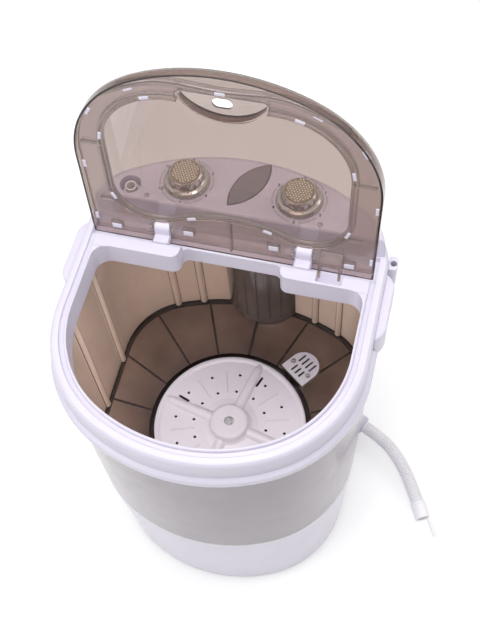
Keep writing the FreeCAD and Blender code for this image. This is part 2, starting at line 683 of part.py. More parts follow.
def control_panel():
    outer = panel_solid(0, PANEL_TOP, PANEL_FRONT_Y)
    front_edges = []
    for edge in outer.Edges:
        span = edge.BoundBox
        if abs(span.YMax - PANEL_FRONT_Y) < 1e-6 and span.YLength < 1e-6 and span.ZMin > PANEL_TOP - 0.01:
            front_edges.append(edge)
    outer = outer.makeFillet(4.0, front_edges)
    inner = panel_solid(WALL, PANEL_TOP - WALL, PANEL_FRONT_Y + WALL)
    panel = outer.cut(inner)
    cup = rod(INLET_WELL_R + 2, PANEL_TOP - 18, PANEL_TOP - 1, INLET_X, INLET_Y)
    panel = panel.fuse([cup, leaf(2.5, PANEL_TOP - WALL - 1.6, PANEL_TOP - 1)])
    cuts = [rod(INLET_WELL_R, PANEL_TOP - 16, PANEL_TOP + 5, INLET_X, INLET_Y)]
    cuts.append(rod(INLET_R + RUN_FIT, PANEL_TOP - 30, PANEL_TOP, INLET_X, INLET_Y))
    cuts.append(leaf(0.0, PANEL_TOP - 1.8, PANEL_TOP + 3))
    for side in (-1, 1):
        cuts.append(rod(TIMER_SHAFT_R + 1.0, PANEL_TOP - 10, PANEL_TOP + 5, side * KNOB_X, KNOB_Y))
    return panel.cut(cuts).removeSplitter()


def water_inlet():
    z = PANEL_TOP - 16.0
    body = rod(INLET_R, RIM_Z - 18, PANEL_TOP - 3, INLET_X, INLET_Y)
    body = body.fuse(rod(INLET_R + 3, z, z + 2.4, INLET_X, INLET_Y))
    return body.cut(rod(INLET_BORE_R, RIM_Z - 30, PANEL_TOP + 5, INLET_X, INLET_Y)).removeSplitter()


def timer(x):
    half = TIMER_SIZE / 2
    top = PANEL_TOP - WALL
    case = upright_fillet(box(x - half, x + half, KNOB_Y - half, KNOB_Y + half, top - 26, top), 5.0)
    back = KNOB_Y + half
    tabs = []
    for low in (top - 25, top - 17, top - 9):
        tabs.append(box(x - 3, x + 3, back - 1, back + 5, low, low + 2))
    return case.fuse(tabs).cut(rod(TIMER_SHAFT_R + RUN_FIT, top - 20, top + 1, x, KNOB_Y)).removeSplitter()


def timer_shaft(x):
    top = PANEL_TOP + 13.0
    shaft = rod(TIMER_SHAFT_R, PANEL_TOP - WALL - 18, top, x, KNOB_Y)
    return shaft.cut(box(x - 5, x + 5, KNOB_Y + 1.6, KNOB_Y + 5, PANEL_TOP + 3, top + 1))


def knob(x):
    base = PANEL_TOP + 0.8
    top = PANEL_TOP + KNOB_HEIGHT
    grip = KNOB_GRIP_R
    profile = [
        (0, base), (KNOB_SKIRT_R, base), (KNOB_SKIRT_R, base + 2), (KNOB_SKIRT_R - 2.5, base + 5),
        (grip + 2.6, base + 6.2), (grip + 1.2, base + 7.5),
        (grip, top - 1.2), (grip - 1.4, top), (0, top + 0.6)]
    body = revolved(profile, x, KNOB_Y)
    flutes = []
    for index in range(16):
        away, flute_y = polar(grip + 2.3, index * 22.5, KNOB_Y)
        flutes.append(rod(2.4, base + 7.6, top + 2, x + away, flute_y))
    shaft = timer_shaft(x)
    pointer = box(x - 0.9, x + 0.9, KNOB_Y + grip - 1, KNOB_Y + KNOB_SKIRT_R - 1.5, base + 4, base + 7)
    return body.cut(flutes).fuse(pointer).cut(shaft).removeSplitter()


# Lid, drawn closed and then swung open about the hinge pins.


def swing_open(shape):
    turned = shape.copy()
    turned.rotate(at(0, PIVOT_Y, PIVOT_Z), at(1, 0, 0), -LID_OPEN_DEG)
    return turned


def lid_dome(lower):
    """Solid under the lid's top surface: an arc from front to rear, swept sideways for the crown."""
    front = at(0, LID_FRONT_Y - 10, LID_EDGE_Z + LID_FRONT_RISE - lower - 0.8)
    middle = at(0, PIVOT_Y - 117.0, LID_EDGE_Z + LID_MID_RISE - lower)
    rear = at(0, LID_REAR_Y + 10, LID_EDGE_Z + LID_REAR_RISE - lower)
    floor = LID_EDGE_Z - 20
    wire = Part.Wire([
        Part.Arc(front, middle, rear).toShape(),
        Part.makeLine(rear, at(0, rear.y, floor)),
        Part.makeLine(at(0, rear.y, floor), at(0, front.y, floor)),
        Part.makeLine(at(0, front.y, floor), front)])
    half = 6.0
    hub = at(0, 0, LID_EDGE_Z - LID_CROWN_R)
    face = Part.Face(wire)
    face.rotate(hub, at(0, 1, 0), -half)
    return face.revolve(hub, at(0, 1, 0), 2 * half)


def lid_solid(inset, lower, rear_y, radius):
    body = prism(-inset, LID_EDGE_Z, LID_EDGE_Z + 60)
    body = body.common(box(-FAR, FAR, -FAR, rear_y, LID_EDGE_Z - 5, LID_EDGE_Z + 70))
    body = body.common(lid_dome(lower))
    edges = side_edges_between(body, LID_EDGE_Z + 2, LID_EDGE_Z + 60, rear_y + 1)
    return body.makeFillet(radius, edges)


def grip_shape(grow, z0, z1):
    """Half-moon in plan with its straight side to the front."""
    front_y = LID_FRONT_Y + GRIP_FRONT_GAP - grow
    half = GRIP_HALF_WIDTH + grow
    left = at(-half, front_y, z0)
    right = at(half, front_y, z0)
    crest = at(0, front_y + GRIP_DEPTH + 2 * grow, z0)
    wire = Part.Wire([Part.makeLine(left, right), Part.Arc(right, crest, left).toShape()])
    return upright_fillet(extruded(wire, z1 - z0), 7.0)


def hinge_notches():
    """Room in the lid for the two posts."""
    half = POST_WIDTH / 2 + HINGE_SIDE_GAP
    high = PIVOT_Z + POST_R + HINGE_SIDE_GAP
    notches = []
    for x in (-POST_X, POST_X):
        notches.append(box(x - half, x + half, TROUGH_FRONT_Y - 4, LID_REAR_Y + 5, LID_EDGE_Z - 1, high))
    return notches


def lid_shell():
    outer = lid_solid(LID_INSET, 0, LID_REAR_Y, LID_EDGE_R)
    inner = lid_solid(LID_INSET + LID_SKIN, LID_SKIN, LID_REAR_Y - LID_SKIN, LID_EDGE_R - LID_SKIN)
    shell = outer.cut(inner)
    grip = grip_shape(0, LID_EDGE_Z + 4, LID_EDGE_Z + 60)
    return shell.cut([grip] + hinge_notches()).removeSplitter()


def lid_grip_cup():
    floor_z = FRAME_PLATE_Z + FRAME_PLATE + 0.2
    outside = grip_shape(0, floor_z, RIM_Z + 60)
    inside = grip_shape(-1.8, floor_z + 1.8, RIM_Z + 61)
    cup = outside.cut(inside).common(lid_dome(0))
    y = LID_FRONT_Y + GRIP_FRONT_GAP + 11.0
    return cup.cut(slot(-4, y, 4, y, 6.5, floor_z - 2, floor_z + 4))


def window_centres():
    """Arc centres of the lid window's lobe, front corner and rear bump, and the bump's radius."""
    lobe_x = WINDOW_HALF_WIDTH - WINDOW_LOBE_R
    lobe_y = LID_REAR_Y - WINDOW_REAR_S - WINDOW_LOBE_R
    corner_x = WINDOW_HALF_WIDTH - WINDOW_CORNER_R
    corner_y = LID_FRONT_Y + WINDOW_FRONT_GAP + WINDOW_CORNER_R
    rise = LID_REAR_Y - WINDOW_BUMP_S - lobe_y
    bump_r = (lobe_x ** 2 + rise ** 2 - WINDOW_LOBE_R ** 2) / (2 * (WINDOW_LOBE_R - rise))
    bump_y = LID_REAR_Y - WINDOW_BUMP_S + bump_r
    return lobe_x, lobe_y, corner_x, corner_y, bump_y, bump_r


def window_outline(grow, z):
    """Lid window: straight front and sides, round corners, a bump between two lobes at the rear."""
    lobe_x, lobe_y, corner_x, corner_y, bump_y, bump_r = window_centres()
    lean = math.atan2(lobe_y - bump_y, lobe_x)
    side = WINDOW_HALF_WIDTH + grow
    front = corner_y - WINDOW_CORNER_R - grow
    pi = math.pi
    edges = [
        arc(lobe_x, lobe_y, WINDOW_LOBE_R + grow, pi + lean, 0, z),
        Part.makeLine(at(side, lobe_y, z), at(side, corner_y, z)),
        arc(corner_x, corner_y, WINDOW_CORNER_R + grow, 0, -pi / 2, z),
        Part.makeLine(at(corner_x, front, z), at(-corner_x, front, z)),
        arc(-corner_x, corner_y, WINDOW_CORNER_R + grow, -pi / 2, -pi, z),
        Part.makeLine(at(-side, corner_y, z), at(-side, lobe_y, z)),
        arc(-lobe_x, lobe_y, WINDOW_LOBE_R + grow, pi, -lean, z),
        arc(0, bump_y, bump_r - grow, -pi - lean, lean, z),
    ]
    return Part.Wire(edges)


# Points of the front rib's right half: X and the distance behind the lid's front edge.
FRONT_RIB = [
    (HALF_WIDTH - 20, 73.5), (HALF_WIDTH - 46, 52.5), (HALF_WIDTH - 85, 30.5),
    (HALF_WIDTH - 118, 19.5), (HALF_WIDTH - 150, 19.5), (0, 21.5)]


def front_rib_curve(shift, z):
    right = [at(x, LID_FRONT_Y + behind - shift, z) for x, behind in FRONT_RIB]
    left = [at(-p.x, p.y, z) for p in reversed(right) if p.x > 0.01]
    curve = Part.BSplineCurve()
    curve.interpolate(Points=right + left)
    return curve.toShape(), right[0], left[-1]


def ahead_of_rib(shift, z0, z1):
    """Region in front of the front rib, up to beyond the lid's edge."""
    curve, start, end = front_rib_curve(shift, z0)
    far = -FAR
    edges = [
        curve,
        Part.makeLine(end, at(end.x, far, z0)),
        Part.makeLine(at(end.x, far, z0), at(start.x, far, z0)),
        Part.makeLine(at(start.x, far, z0), start)]
    return extruded(Part.Wire(edges), z1 - z0)


def window_prism(grow, z0, z1):
    return extruded(window_outline(grow, z0), z1 - z0)


def inner_frame_region(inset, z0, z1):
    region = prism(-inset, z0, z1)
    return region.common(box(-FAR, FAR, -FAR, LID_REAR_Y - LID_SKIN - SLIP, z0, z1))


def rear_pads():
    """Plan points of the right-hand pads near the lid's rear edge."""
    return [(HALF_WIDTH - 43.0, LID_REAR_Y - 14.0), (POST_X - 34.0, LID_REAR_Y - 22.5)]


def lid_inner_frame():
    z0 = FRAME_PLATE_Z
    z1 = z0 + FRAME_PLATE
    inset = LID_INSET + LID_SKIN + 0.6
    plate = inner_frame_region(inset, z0, z1).cut(ahead_of_rib(0, z0 - 1, z1 + 1))
    low = z0 - RING_DROP
    region = inner_frame_region(inset, low, z1 + 2.0)
    rib = region.common(ahead_of_rib(-4.0, low, z1 + 2.0)).cut(ahead_of_rib(0, low - 1, z1 + 3.0))
    bead_outer = window_prism(RING_WIDTH, low, z1).cut(window_prism(RING_WIDTH - 2.4, low - 1, z1 + 1))
    bead_inner = window_prism(2.4, low, z1).cut(window_prism(0, low - 1, z1 + 1))
    ring_rear = LID_REAR_Y - WINDOW_BUMP_S + RING_WIDTH
    middle_rib = box(-1.2, 1.2, ring_rear - 1, LID_REAR_Y - LID_SKIN - SLIP, low, z1)
    pieces = [rib, bead_outer, bead_inner, middle_rib]
    for side in (-1, 1):
        for x, s in ((HALF_WIDTH - 22.0, 150.0), (HALF_WIDTH - 30.0, 60.0)):
            y = LID_REAR_Y - s
            x0, x1 = sorted((side * (WINDOW_HALF_WIDTH + 2), side * x))
            pieces.append(box(x0, x1, y - 1.2, y + 1.2, low, z1))
        for x, y in rear_pads():
            pieces.append(box(side * x - 7, side * x + 7, y - 5, y + 5, z0 - REAR_PAD, z0 + 0.5))
        for edge in (-1, 1):
            centre = side * POST_X + edge * (POST_WIDTH / 2 + HINGE_SIDE_GAP + LUG_THICK / 2)
            half = LUG_THICK / 2
            lug = box(centre - half, centre + half, PIVOT_Y - 8, PIVOT_Y + 8, z0, PIVOT_Z)
            pieces.append(lug.fuse(cross_rod(6.5, centre - half, centre + half, PIVOT_Y, PIVOT_Z)))
    left = SWITCH_LUG_X - SWITCH_LUG_WIDTH / 2
    right = SWITCH_LUG_X + SWITCH_LUG_WIDTH / 2
    lug_low = LID_EDGE_Z - SWITCH_LUG_DROP
    lug_rear = LID_REAR_Y - LID_SKIN - SLIP
    lug = box(left, right, LID_REAR_Y - 30.5, lug_rear, lug_low, z0 + 1)
    hollow = box(left + 3, right - 3, LID_REAR_Y - 27.5, lug_rear + 1, lug_low - 1, z0 - 2)
    pieces.append(lug.cut(hollow))
    frame = plate.fuse(pieces)
    cuts = [window_prism(0, low - 2, z1 + 4), grip_shape(SLIP, low - 2, z1 + 10)]
    cuts += hinge_notches()
    for side in (-1, 1):
        cuts.append(cross_rod(PIN_R, side * POST_X - 20, side * POST_X + 20, PIVOT_Y, PIVOT_Z))
    return frame.cut(cuts).removeSplitter()


def hinge_pin(x):
    reach = POST_WIDTH / 2 + HINGE_SIDE_GAP + LUG_THICK
    return cross_rod(PIN_R, x - reach, x + reach, PIVOT_Y, PIVOT_Z)


def clip_spots():
    """Right-hand clips as (x, y, turn, seat height): on the ring, beside the skirt and the front rib."""
    lobe_x, lobe_y, corner_x, corner_y, bump_y, bump_r = window_centres()
    ring_z = FRAME_PLATE_Z - RING_DROP
    middle = RING_WIDTH / 2
    front_y, front_c, front_meet = end_of_outline(-HALF_DEPTH, -1, FRONT_CORNER, FRONT_RADIUS)
    skirt_inset = LID_INSET + LID_SKIN + 3.0
    arcs = [
        (corner_x, corner_y, WINDOW_CORNER_R + middle, -72.0, ring_z),
        (corner_x, corner_y, WINDOW_CORNER_R + middle, -10.0, ring_z),
        (lobe_x, lobe_y, WINDOW_LOBE_R + middle, 20.0, ring_z),
        (0.0, bump_y, bump_r - middle, -72.0, ring_z),
        (HALF_WIDTH - FRONT_CORNER, front_y, FRONT_CORNER - skirt_inset, -30.0, FRAME_PLATE_Z),
    ]
    spots = []
    for x, y, radius, degrees, seat in arcs:
        angle = math.radians(degrees)
        spots.append((x + radius * math.cos(angle), y + radius * math.sin(angle), degrees + 90.0, seat))
    for s in (113.0, 24.0):
        spots.append((HALF_WIDTH - skirt_inset, LID_REAR_Y - s, 90.0, FRAME_PLATE_Z))
    spots.append((HALF_WIDTH - 85.0, LID_FRONT_Y + 38.0, 27.0, FRAME_PLATE_Z))
    return spots


def lid_clips():
    """White snap clips that hold the inner frame to the outer shell, seated on the frame."""
    clips = []
    for side in (-1, 1):
        for x, y, turn, seat in clip_spots():
            clip = box(-5.0, 5.0, -1.6, 1.6, seat - 1.2, seat)
            clip.rotate(at(0, 0, 0), at(0, 0, 1), side * turn)
            clip.translate(at(side * x, y, 0))
            clips.append(clip)
        for x, y in rear_pads():
            seat = FRAME_PLATE_Z - REAR_PAD
            clips.append(box(side * x - 5.5, side * x + 5.5, y - 3.2, y + 3.2, seat - 1.0, seat))
    seat = FRAME_PLATE_Z - RING_DROP
    clips.append(box(-5, 5, LID_FRONT_Y + 21.5, LID_FRONT_Y + 24.5, seat - 1.2, seat))
    return clips


# Side grips and hose peg socket


def grip_moon(reach, half_length, z0, z1):
    """Shallow bow in plan on the right side of the frame, flat in the middle."""
    x0 = GRIP_SEAT_X
    front = GRIP_Y - half_length
    rear = GRIP_Y + half_length
    shoulder = min(8.0, reach)
    bow_x = x0 + 0.75 * reach
    flat_x = x0 + reach
    flat_front = at(flat_x, front + 3 * shoulder, z0)
    flat_rear = at(flat_x, rear - 3 * shoulder, z0)
    wire = Part.Wire([
        Part.Arc(at(x0, front, z0), at(bow_x, front + shoulder, z0), flat_front).toShape(),
        Part.makeLine(flat_front, flat_rear),
        Part.Arc(flat_rear, at(bow_x, rear - shoulder, z0), at(x0, rear, z0)).toShape(),
        Part.makeLine(at(x0, rear, z0), at(x0, front, z0))])
    return extruded(wire, z1 - z0)


def side_grip(side):
    """Hollow grip on the frame's side, open below for the fingers."""
    z0 = FRAME_BOTTOM
    z1 = RIM_Z - 10.0
    x0 = GRIP_SEAT_X
    half = GRIP_LENGTH / 2 - SLIP
    body = grip_moon(GRIP_REACH, half, z0, z1)
    top_edges = []
    for edge in body.Edges:
        if edge.BoundBox.ZMin > z1 - 0.01 and edge.BoundBox.XMax > x0 + 0.1:
            top_edges.append(edge)
    body = body.makeFillet(3.5, top_edges)
    grip = body.cut(grip_moon(GRIP_REACH - 2.5, half - 2.5, z0 - 1, z1 - 5.0))
    back = box(x0, x0 + 1.5, GRIP_Y - half + 0.5, GRIP_Y + half - 0.5, z0, z1 - 5.0)
    grip = grip.fuse(back).removeSplitter()
    if side < 0:
        grip = grip.mirror(at(0, 0, 0), at(1, 0, 0))
    return grip


def hose_socket():
    """Small block on the right side with an upright hole for the peg of the hose cuff."""
    x0 = SOCKET_SEAT_X
    block = box(x0 - 4, x0 + 10.5, SOCKET_Y - 8.8, SOCKET_Y + 8.8, FRAME_BOTTOM + 4, RIM_Z - 9)
    block = upright_fillet(block, 4.0).common(box(x0, x0 + 20, SOCKET_Y - 20, SOCKET_Y + 20, 0, RIM_Z))
    return block.cut(rod(PEG_R + 0.6, FRAME_BOTTOM + 8, RIM_Z, x0 + 5.4, SOCKET_Y))


# Drive


def pulsator_blade(degrees):
    """Rounded ridge that narrows and falls from the hub to the rim."""
    sections = []
    foot_z = PULSATOR_Z - 2.0
    for radius, width, height in ((20, 17, 10), (60, 14, 9), (92, 12, 8), (101, 9, 4)):
        left = at(radius, -width / 2, foot_z)
        right = at(radius, width / 2, foot_z)
        crest = at(radius, 0, foot_z + height)
        sections.append(Part.Wire([Part.Arc(left, crest, right).toShape(), Part.makeLine(right, left)]))
    blade = Part.makeLoft(sections, True, True)
    blade.rotate(at(0, 0, 0), at(0, 0, 1), degrees)
    blade.translate(at(0, PULSATOR_Y, 0))
    return blade


def pulsator_ridge(degrees):
    """Low thin line that stiffens the disc between two blades."""
    ridge = box(50, 82, -1.0, 1.0, PULSATOR_Z - 1, PULSATOR_Z + 2.2)
    ridge.rotate(at(0, 0, 0), at(0, 0, 1), degrees)
    ridge.translate(at(0, PULSATOR_Y, 0))
    return ridge


def pulsator():
    z = PULSATOR_Z
    rim = PULSATOR_R
    hub = z + HUB_HEIGHT
    seat = SCREW_SEAT
    profile = [
        (SHAFT_R, z - 8), (SHAFT_R, SHAFT_TOP), (2.6, SHAFT_TOP), (2.6, seat), (6.6, seat), (6.6, hub),
        (22, hub), (25, hub - 1.2), (26.5, hub - 4), (28, z + 6), (31, z + 3), (40, z + 1.6),
        (rim - 9, z + 0.6), (rim - 6, z + 1.8), (rim - 3.5, z + 2.2), (rim - 1, z + 1.0),
        (rim, z - 1.5), (rim, z - 6), (rim - 2.5, z - 6), (rim - 2.5, z - 2.5),
        (40, z - 1.6), (15, z - 3), (15, z - 8)]
    body = revolved(profile, 0, PULSATOR_Y)
    step = 360.0 / BLADE_COUNT
    blades = [pulsator_blade(BLADE_DEG + index * step) for index in range(BLADE_COUNT)]
    low = rod(rim, z - 20, z - 1.8, 0, PULSATOR_Y)
    ridges = []
    for index in range(BLADE_COUNT):
        for share in (1 / 3, 2 / 3):
            ridges.append(pulsator_ridge(BLADE_DEG + (index + share) * step))
    body = body.fuse([blade.cut(low) for blade in blades] + ridges)
    holes = []
    for index in range(HOLE_COUNT):
        for radius in HOLE_RADII:
            x, y = polar(radius, 3.0 + index * 360.0 / HOLE_COUNT)
            holes.append(rod(2.0, z - 10, z + 6, x, y))
    for index in range(BLADE_COUNT):
        start = BLADE_DEG + index * step - 7.2
        x0, y0 = polar(70.0, start)
        x1, y1 = polar(84.0, start)
        holes.append(slot(x0, y0, x1, y1, 1.8, z - 10, z + 6))
    return body.cut(holes).removeSplitter()


def pulsator_screw():
    z = SCREW_SEAT
    head = rod(5.8, z, z + 2.6, 0, PULSATOR_Y)
    head = head.cut(box(-4, 4, PULSATOR_Y - 0.7, PULSATOR_Y + 0.7, z + 1.4, z + 5))
    return head.fuse(rod(2.5, SHAFT_TOP - 10, z, 0, PULSATOR_Y)).removeSplitter()


PULLEY_BOTTOM = BELT_Z - 4.0
PULLEY_TOP = BELT_Z + BELT_HEIGHT + 4.0


def drive_shaft():
    shaft = rod(SHAFT_R, PULLEY_BOTTOM - 4, SHAFT_TOP, 0, PULSATOR_Y)
    return shaft.cut(rod(2.5, SHAFT_TOP - 10, SHAFT_TOP + 1, 0, PULSATOR_Y))


def shaft_bearing():
    return pipe(BEARING_R, SHAFT_R + RUN_FIT, BOSS_BOTTOM, WELL_FLOOR - 8, 0, PULSATOR_Y)


def shaft_seal():
    low = WELL_FLOOR - 8
    floor = WELL_FLOOR
    bore = SHAFT_R + RUN_FIT
    profile = [
        (bore, low), (BEARING_R, low), (BEARING_R, floor), (BEARING_R + 3, floor),
        (BEARING_R + 3, floor + 2), (BEARING_R - 2, floor + 3), (bore, floor + 3)]
    return revolved(profile, 0, PULSATOR_Y)


def grooved_pulley(radius, bore, y, spokes):
    low = PULLEY_BOTTOM
    high = PULLEY_TOP
    rim = radius + 3.0
    groove_low = BELT_Z - SLIP
    groove_high = BELT_Z + BELT_HEIGHT + SLIP
    profile = [
        (bore, low), (rim, low), (rim, groove_low), (radius - SLIP, groove_low),
        (radius - SLIP, groove_high), (rim, groove_high), (rim, high), (bore, high)]
    body = revolved(profile, 0, y)
    if spokes:
        web = pipe(radius - 8, bore + 8, low - 1, low + 4, 0, y)
        upper = pipe(radius - 8, bore + 8, high - 4, high + 1, 0, y)
        body = body.cut([web, upper])
        windows = []
        for index in range(spokes):
            x, py = polar((radius + bore) / 2, index * 360.0 / spokes, y)
            windows.append(rod(13.0, low - 1, high + 1, x, py))
        body = body.cut(windows)
    return body


def belt_loop(extra, z0, z1):
    """Plan loop round both pulleys, grown by extra."""
    span = MOTOR_Y - PULSATOR_Y
    big = DRIVEN_R + extra
    small = DRIVER_R + extra
    lean = math.asin((DRIVEN_R - DRIVER_R) / span)
    pi = math.pi
    front = arc(0, PULSATOR_Y, big, pi - lean, 2 * pi + lean, z0)
    rear = arc(0, MOTOR_Y, small, lean, pi - lean, z0)
    right_run = Part.makeLine(front.Vertexes[1].Point, rear.Vertexes[0].Point)
    left_run = Part.makeLine(rear.Vertexes[1].Point, front.Vertexes[0].Point)
    return extruded(Part.Wire([front, right_run, rear, left_run]), z1 - z0)


def drive_belt():
    outer = belt_loop(BELT_THICK, BELT_Z, BELT_Z + BELT_HEIGHT)
    return outer.cut(belt_loop(0, BELT_Z - 1, BELT_Z + BELT_HEIGHT + 1))


def motor_screw_places():
    reach = MOTOR_R - 8
    return [(side * reach * 0.75, MOTOR_Y + end * reach * 0.66) for side in (-1, 1) for end in (-1, 1)]


def motor():
    low = MOTOR_BOTTOM
    high = low + MOTOR_HEIGHT
    r = MOTOR_R
    profile = [
        (0, low), (r - 4, low), (r - 2, low + 14), (r, low + 16), (r, high - 18), (r - 2, high - 16),
        (r - 6, high - 2), (r - 8, high), (14, high), (12, high + 4), (0, high + 4)]
    body = revolved(profile, 0, MOTOR_Y)
    core_low = low + ROTOR_RISE
    core_high = core_low + ROTOR_HEIGHT
    winding_r = r - 7
    cuts = [rod(MOTOR_SHAFT_R + RUN_FIT, low - 1, high - 1, 0, MOTOR_Y)]
    cuts.append(rod(ROTOR_R + ROTOR_GAP, core_low - 1, core_high + 1, 0, MOTOR_Y))
    cuts.append(rod(winding_r, low + 12, core_low, 0, MOTOR_Y))
    cuts.append(rod(winding_r, core_high, high - 8, 0, MOTOR_Y))
    for x, y in motor_screw_places():
        cuts.append(rod(2.2, low - 1, low + 10, x, y))
    for index in range(8):
        x, y = polar(26, index * 45.0, MOTOR_Y)
        cuts.append(rod(4.0, high - 6, high + 5, x, y))
    return body.cut(cuts)


BRACKET_THICK = 2.5


def motor_bracket():
    """Bent steel plate: a table for the motor on two legs with feet on the bottom plate."""
    top = MOTOR_BOTTOM
    foot_z = FOOT_HEIGHT + WALL
    reach = MOTOR_R + 12
    width = 34.0
    table = box(-reach, reach, MOTOR_Y - width, MOTOR_Y + width, top - BRACKET_THICK, top)
    parts = []
    for side in (-1, 1):
        x0, x1 = sorted((side * reach, side * (reach - BRACKET_THICK)))
        parts.append(box(x0, x1, MOTOR_Y - width, MOTOR_Y + width, foot_z, top))
        x0, x1 = sorted((side * (reach - BRACKET_THICK), side * (reach + 16)))
        parts.append(box(x0, x1, MOTOR_Y - width, MOTOR_Y + width, foot_z, foot_z + BRACKET_THICK))
    cuts = [rod(MOTOR_SHAFT_R + 6, top - 10, top + 1, 0, MOTOR_Y)]
    for x, y in motor_screw_places():
        cuts.append(rod(2.2, top - 10, top + 1, x, y))
    return table.fuse(parts).cut(cuts).removeSplitter()


def motor_screw(x, y):
    low = MOTOR_BOTTOM - BRACKET_THICK
    return rod(4.0, low - 2.5, low, x, y).fuse(rod(2.1, low, MOTOR_BOTTOM + 9, x, y)).removeSplitter()


def motor_shaft():
    return rod(MOTOR_SHAFT_R, PULLEY_BOTTOM - 3, MOTOR_BOTTOM + MOTOR_HEIGHT - 2, 0, MOTOR_Y)


def rotor_core():
    low = MOTOR_BOTTOM + ROTOR_RISE
    return pipe(ROTOR_R, MOTOR_SHAFT_R, low, low + ROTOR_HEIGHT, 0, MOTOR_Y)


def capacitor():
    low = FOOT_HEIGHT + WALL
    x = 75.0 - HALF_WIDTH
    y = MOTOR_Y - 40.0
    body = rod(18, low, low + 62, x, y)
    top_edge = [edge for edge in body.Edges if edge.BoundBox.ZMin > low + 61]
    body = body.makeFillet(3.0, top_edge)
    contacts = [rod(2, low + 61, low + 70, x + away, y) for away in (-6, 6)]
    return body.fuse(contacts).removeSplitter()


# Drain


def rounded_route(points, share):
    """Straight runs joined by tangent arcs; returns the wire and the arc radii."""
    edges = []
    radii = []
    start = points[0]
    for index in range(1, len(points) - 1):
        here = points[index]
        back = points[index - 1] - here
        ahead = points[index + 1] - here
        trim = share * min(back.Length, ahead.Length)
        back_dir = back * (1.0 / back.Length)
        ahead_dir = ahead * (1.0 / ahead.Length)
        half_turn = (math.pi - back_dir.getAngle(ahead_dir)) / 2
        radius = trim / math.tan(half_turn)
        into = here + back_dir * trim
        out = here + ahead_dir * trim
        inward = back_dir + ahead_dir
        inward.normalize()
        centre = here + inward * (radius / math.cos(half_turn))
        edges.append(Part.makeLine(start, into))
        edges.append(Part.Arc(into, centre - inward * radius, out).toShape())
        radii.append(radius)
        start = out
    edges.append(Part.makeLine(start, points[-1]))
    return Part.Wire(edges), radii


def swept_tube(wire, radius):
    first = wire.OrderedEdges[0]
    start = first.valueAt(first.FirstParameter)
    heading = first.tangentAt(first.FirstParameter)
    ring = Part.Wire([Part.makeCircle(radius, start, heading)])
    return wire.makePipeShell([ring], True, False)


def drain_pipe():
    axis = hose_axis()
    inner_end = HOSE_EXIT - axis * 22.0
    points = [
        at(DRAIN_X, DRAIN_Y, SUMP_FLOOR - 14), at(DRAIN_X, DRAIN_Y, inner_end.z),
        inner_end - axis * 26.0, inner_end]
    wire, radii = rounded_route(points, 0.42)
    return swept_tube(wire, DRAIN_R).cut(swept_tube(wire, DRAIN_BORE))


def along_axis(radius, start, end):
    axis = hose_axis()
    return Part.makeCylinder(radius, end - start, HOSE_EXIT + axis * start, axis)


def hose_connector():
    """Stub through the base wall: collar on the boss, spigot inside the hose."""
    face = HOSE_BOSS - WALL
    body = along_axis(STUB_R, -22.0, face)
    collar = along_axis(14.0, face, HOSE_BOSS)
    spigot = along_axis(HOSE_BORE_R - RUN_FIT, HOSE_BOSS, HOSE_BOSS + 22.0)
    return body.fuse([collar, spigot]).cut(along_axis(6.2, -23.0, HOSE_BOSS + 23.0)).removeSplitter()


def hose_points():
    """Route on the floor: each run turns further towards the front and falls a little."""
    point = HOSE_EXIT + hose_axis() * HOSE_BOSS
    points = [point]
    for turn, drop in zip(HOSE_TURNS, HOSE_DROPS):
        angle = math.radians(HOSE_HEADING + turn)
        point = point + at(HOSE_RUN * math.cos(angle), HOSE_RUN * math.sin(angle), -drop)
        points.append(point)
    return points


def point_along(wire, distance):
    """Point and heading at a length along a wire."""
    left = distance
    edges = wire.OrderedEdges
    for edge in edges:
        if left <= edge.Length + 1e-6 or edge is edges[-1]:
            value = edge.getParameterByLength(min(max(left, 0.0), edge.Length))
            return edge.valueAt(value), edge.tangentAt(value)
        left -= edge.Length


def ring_at(wire, distance, radius):
    """Circle square to the route whose start point always lies to the same side."""
    centre, heading = point_along(wire, distance)
    side = at(0, 0, 1).cross(heading)
    side.normalize()
    circle = Part.Circle(centre, heading, radius)
    circle.XAxis = side
    return Part.Wire([circle.toShape()])


def drain_hose():
    """Ribbed hose: each rib is a root, a flank, a crest and a flank, joined ring to ring."""
    wire, radii = rounded_route(hose_points(), 0.45)
    length = wire.Length
    ribs = int(length / HOSE_PITCH)
    pitch = length / ribs
    rings = []
    for index in range(ribs):
        for share, radius in ((0.0, HOSE_VALLEY_R), (0.3, HOSE_VALLEY_R), (0.45, HOSE_R), (0.85, HOSE_R)):
            rings.append(ring_at(wire, (index + share) * pitch, radius))
    rings.append(ring_at(wire, length, HOSE_VALLEY_R))
    outside = Part.makeLoft(rings, True, True)
    bore = swept_tube(wire, HOSE_BORE_R)
    hose = outside.cut(bore)
    print("hose length", round(length, 1), "ribs", ribs, "radii", [round(r) for r in radii])
    ring_area = math.pi * ((HOSE_R ** 2 + HOSE_VALLEY_R ** 2) / 2 - HOSE_BORE_R ** 2)
    print("hose volume", round(hose.Volume), "section times length", round(ring_area * length))
    return hose


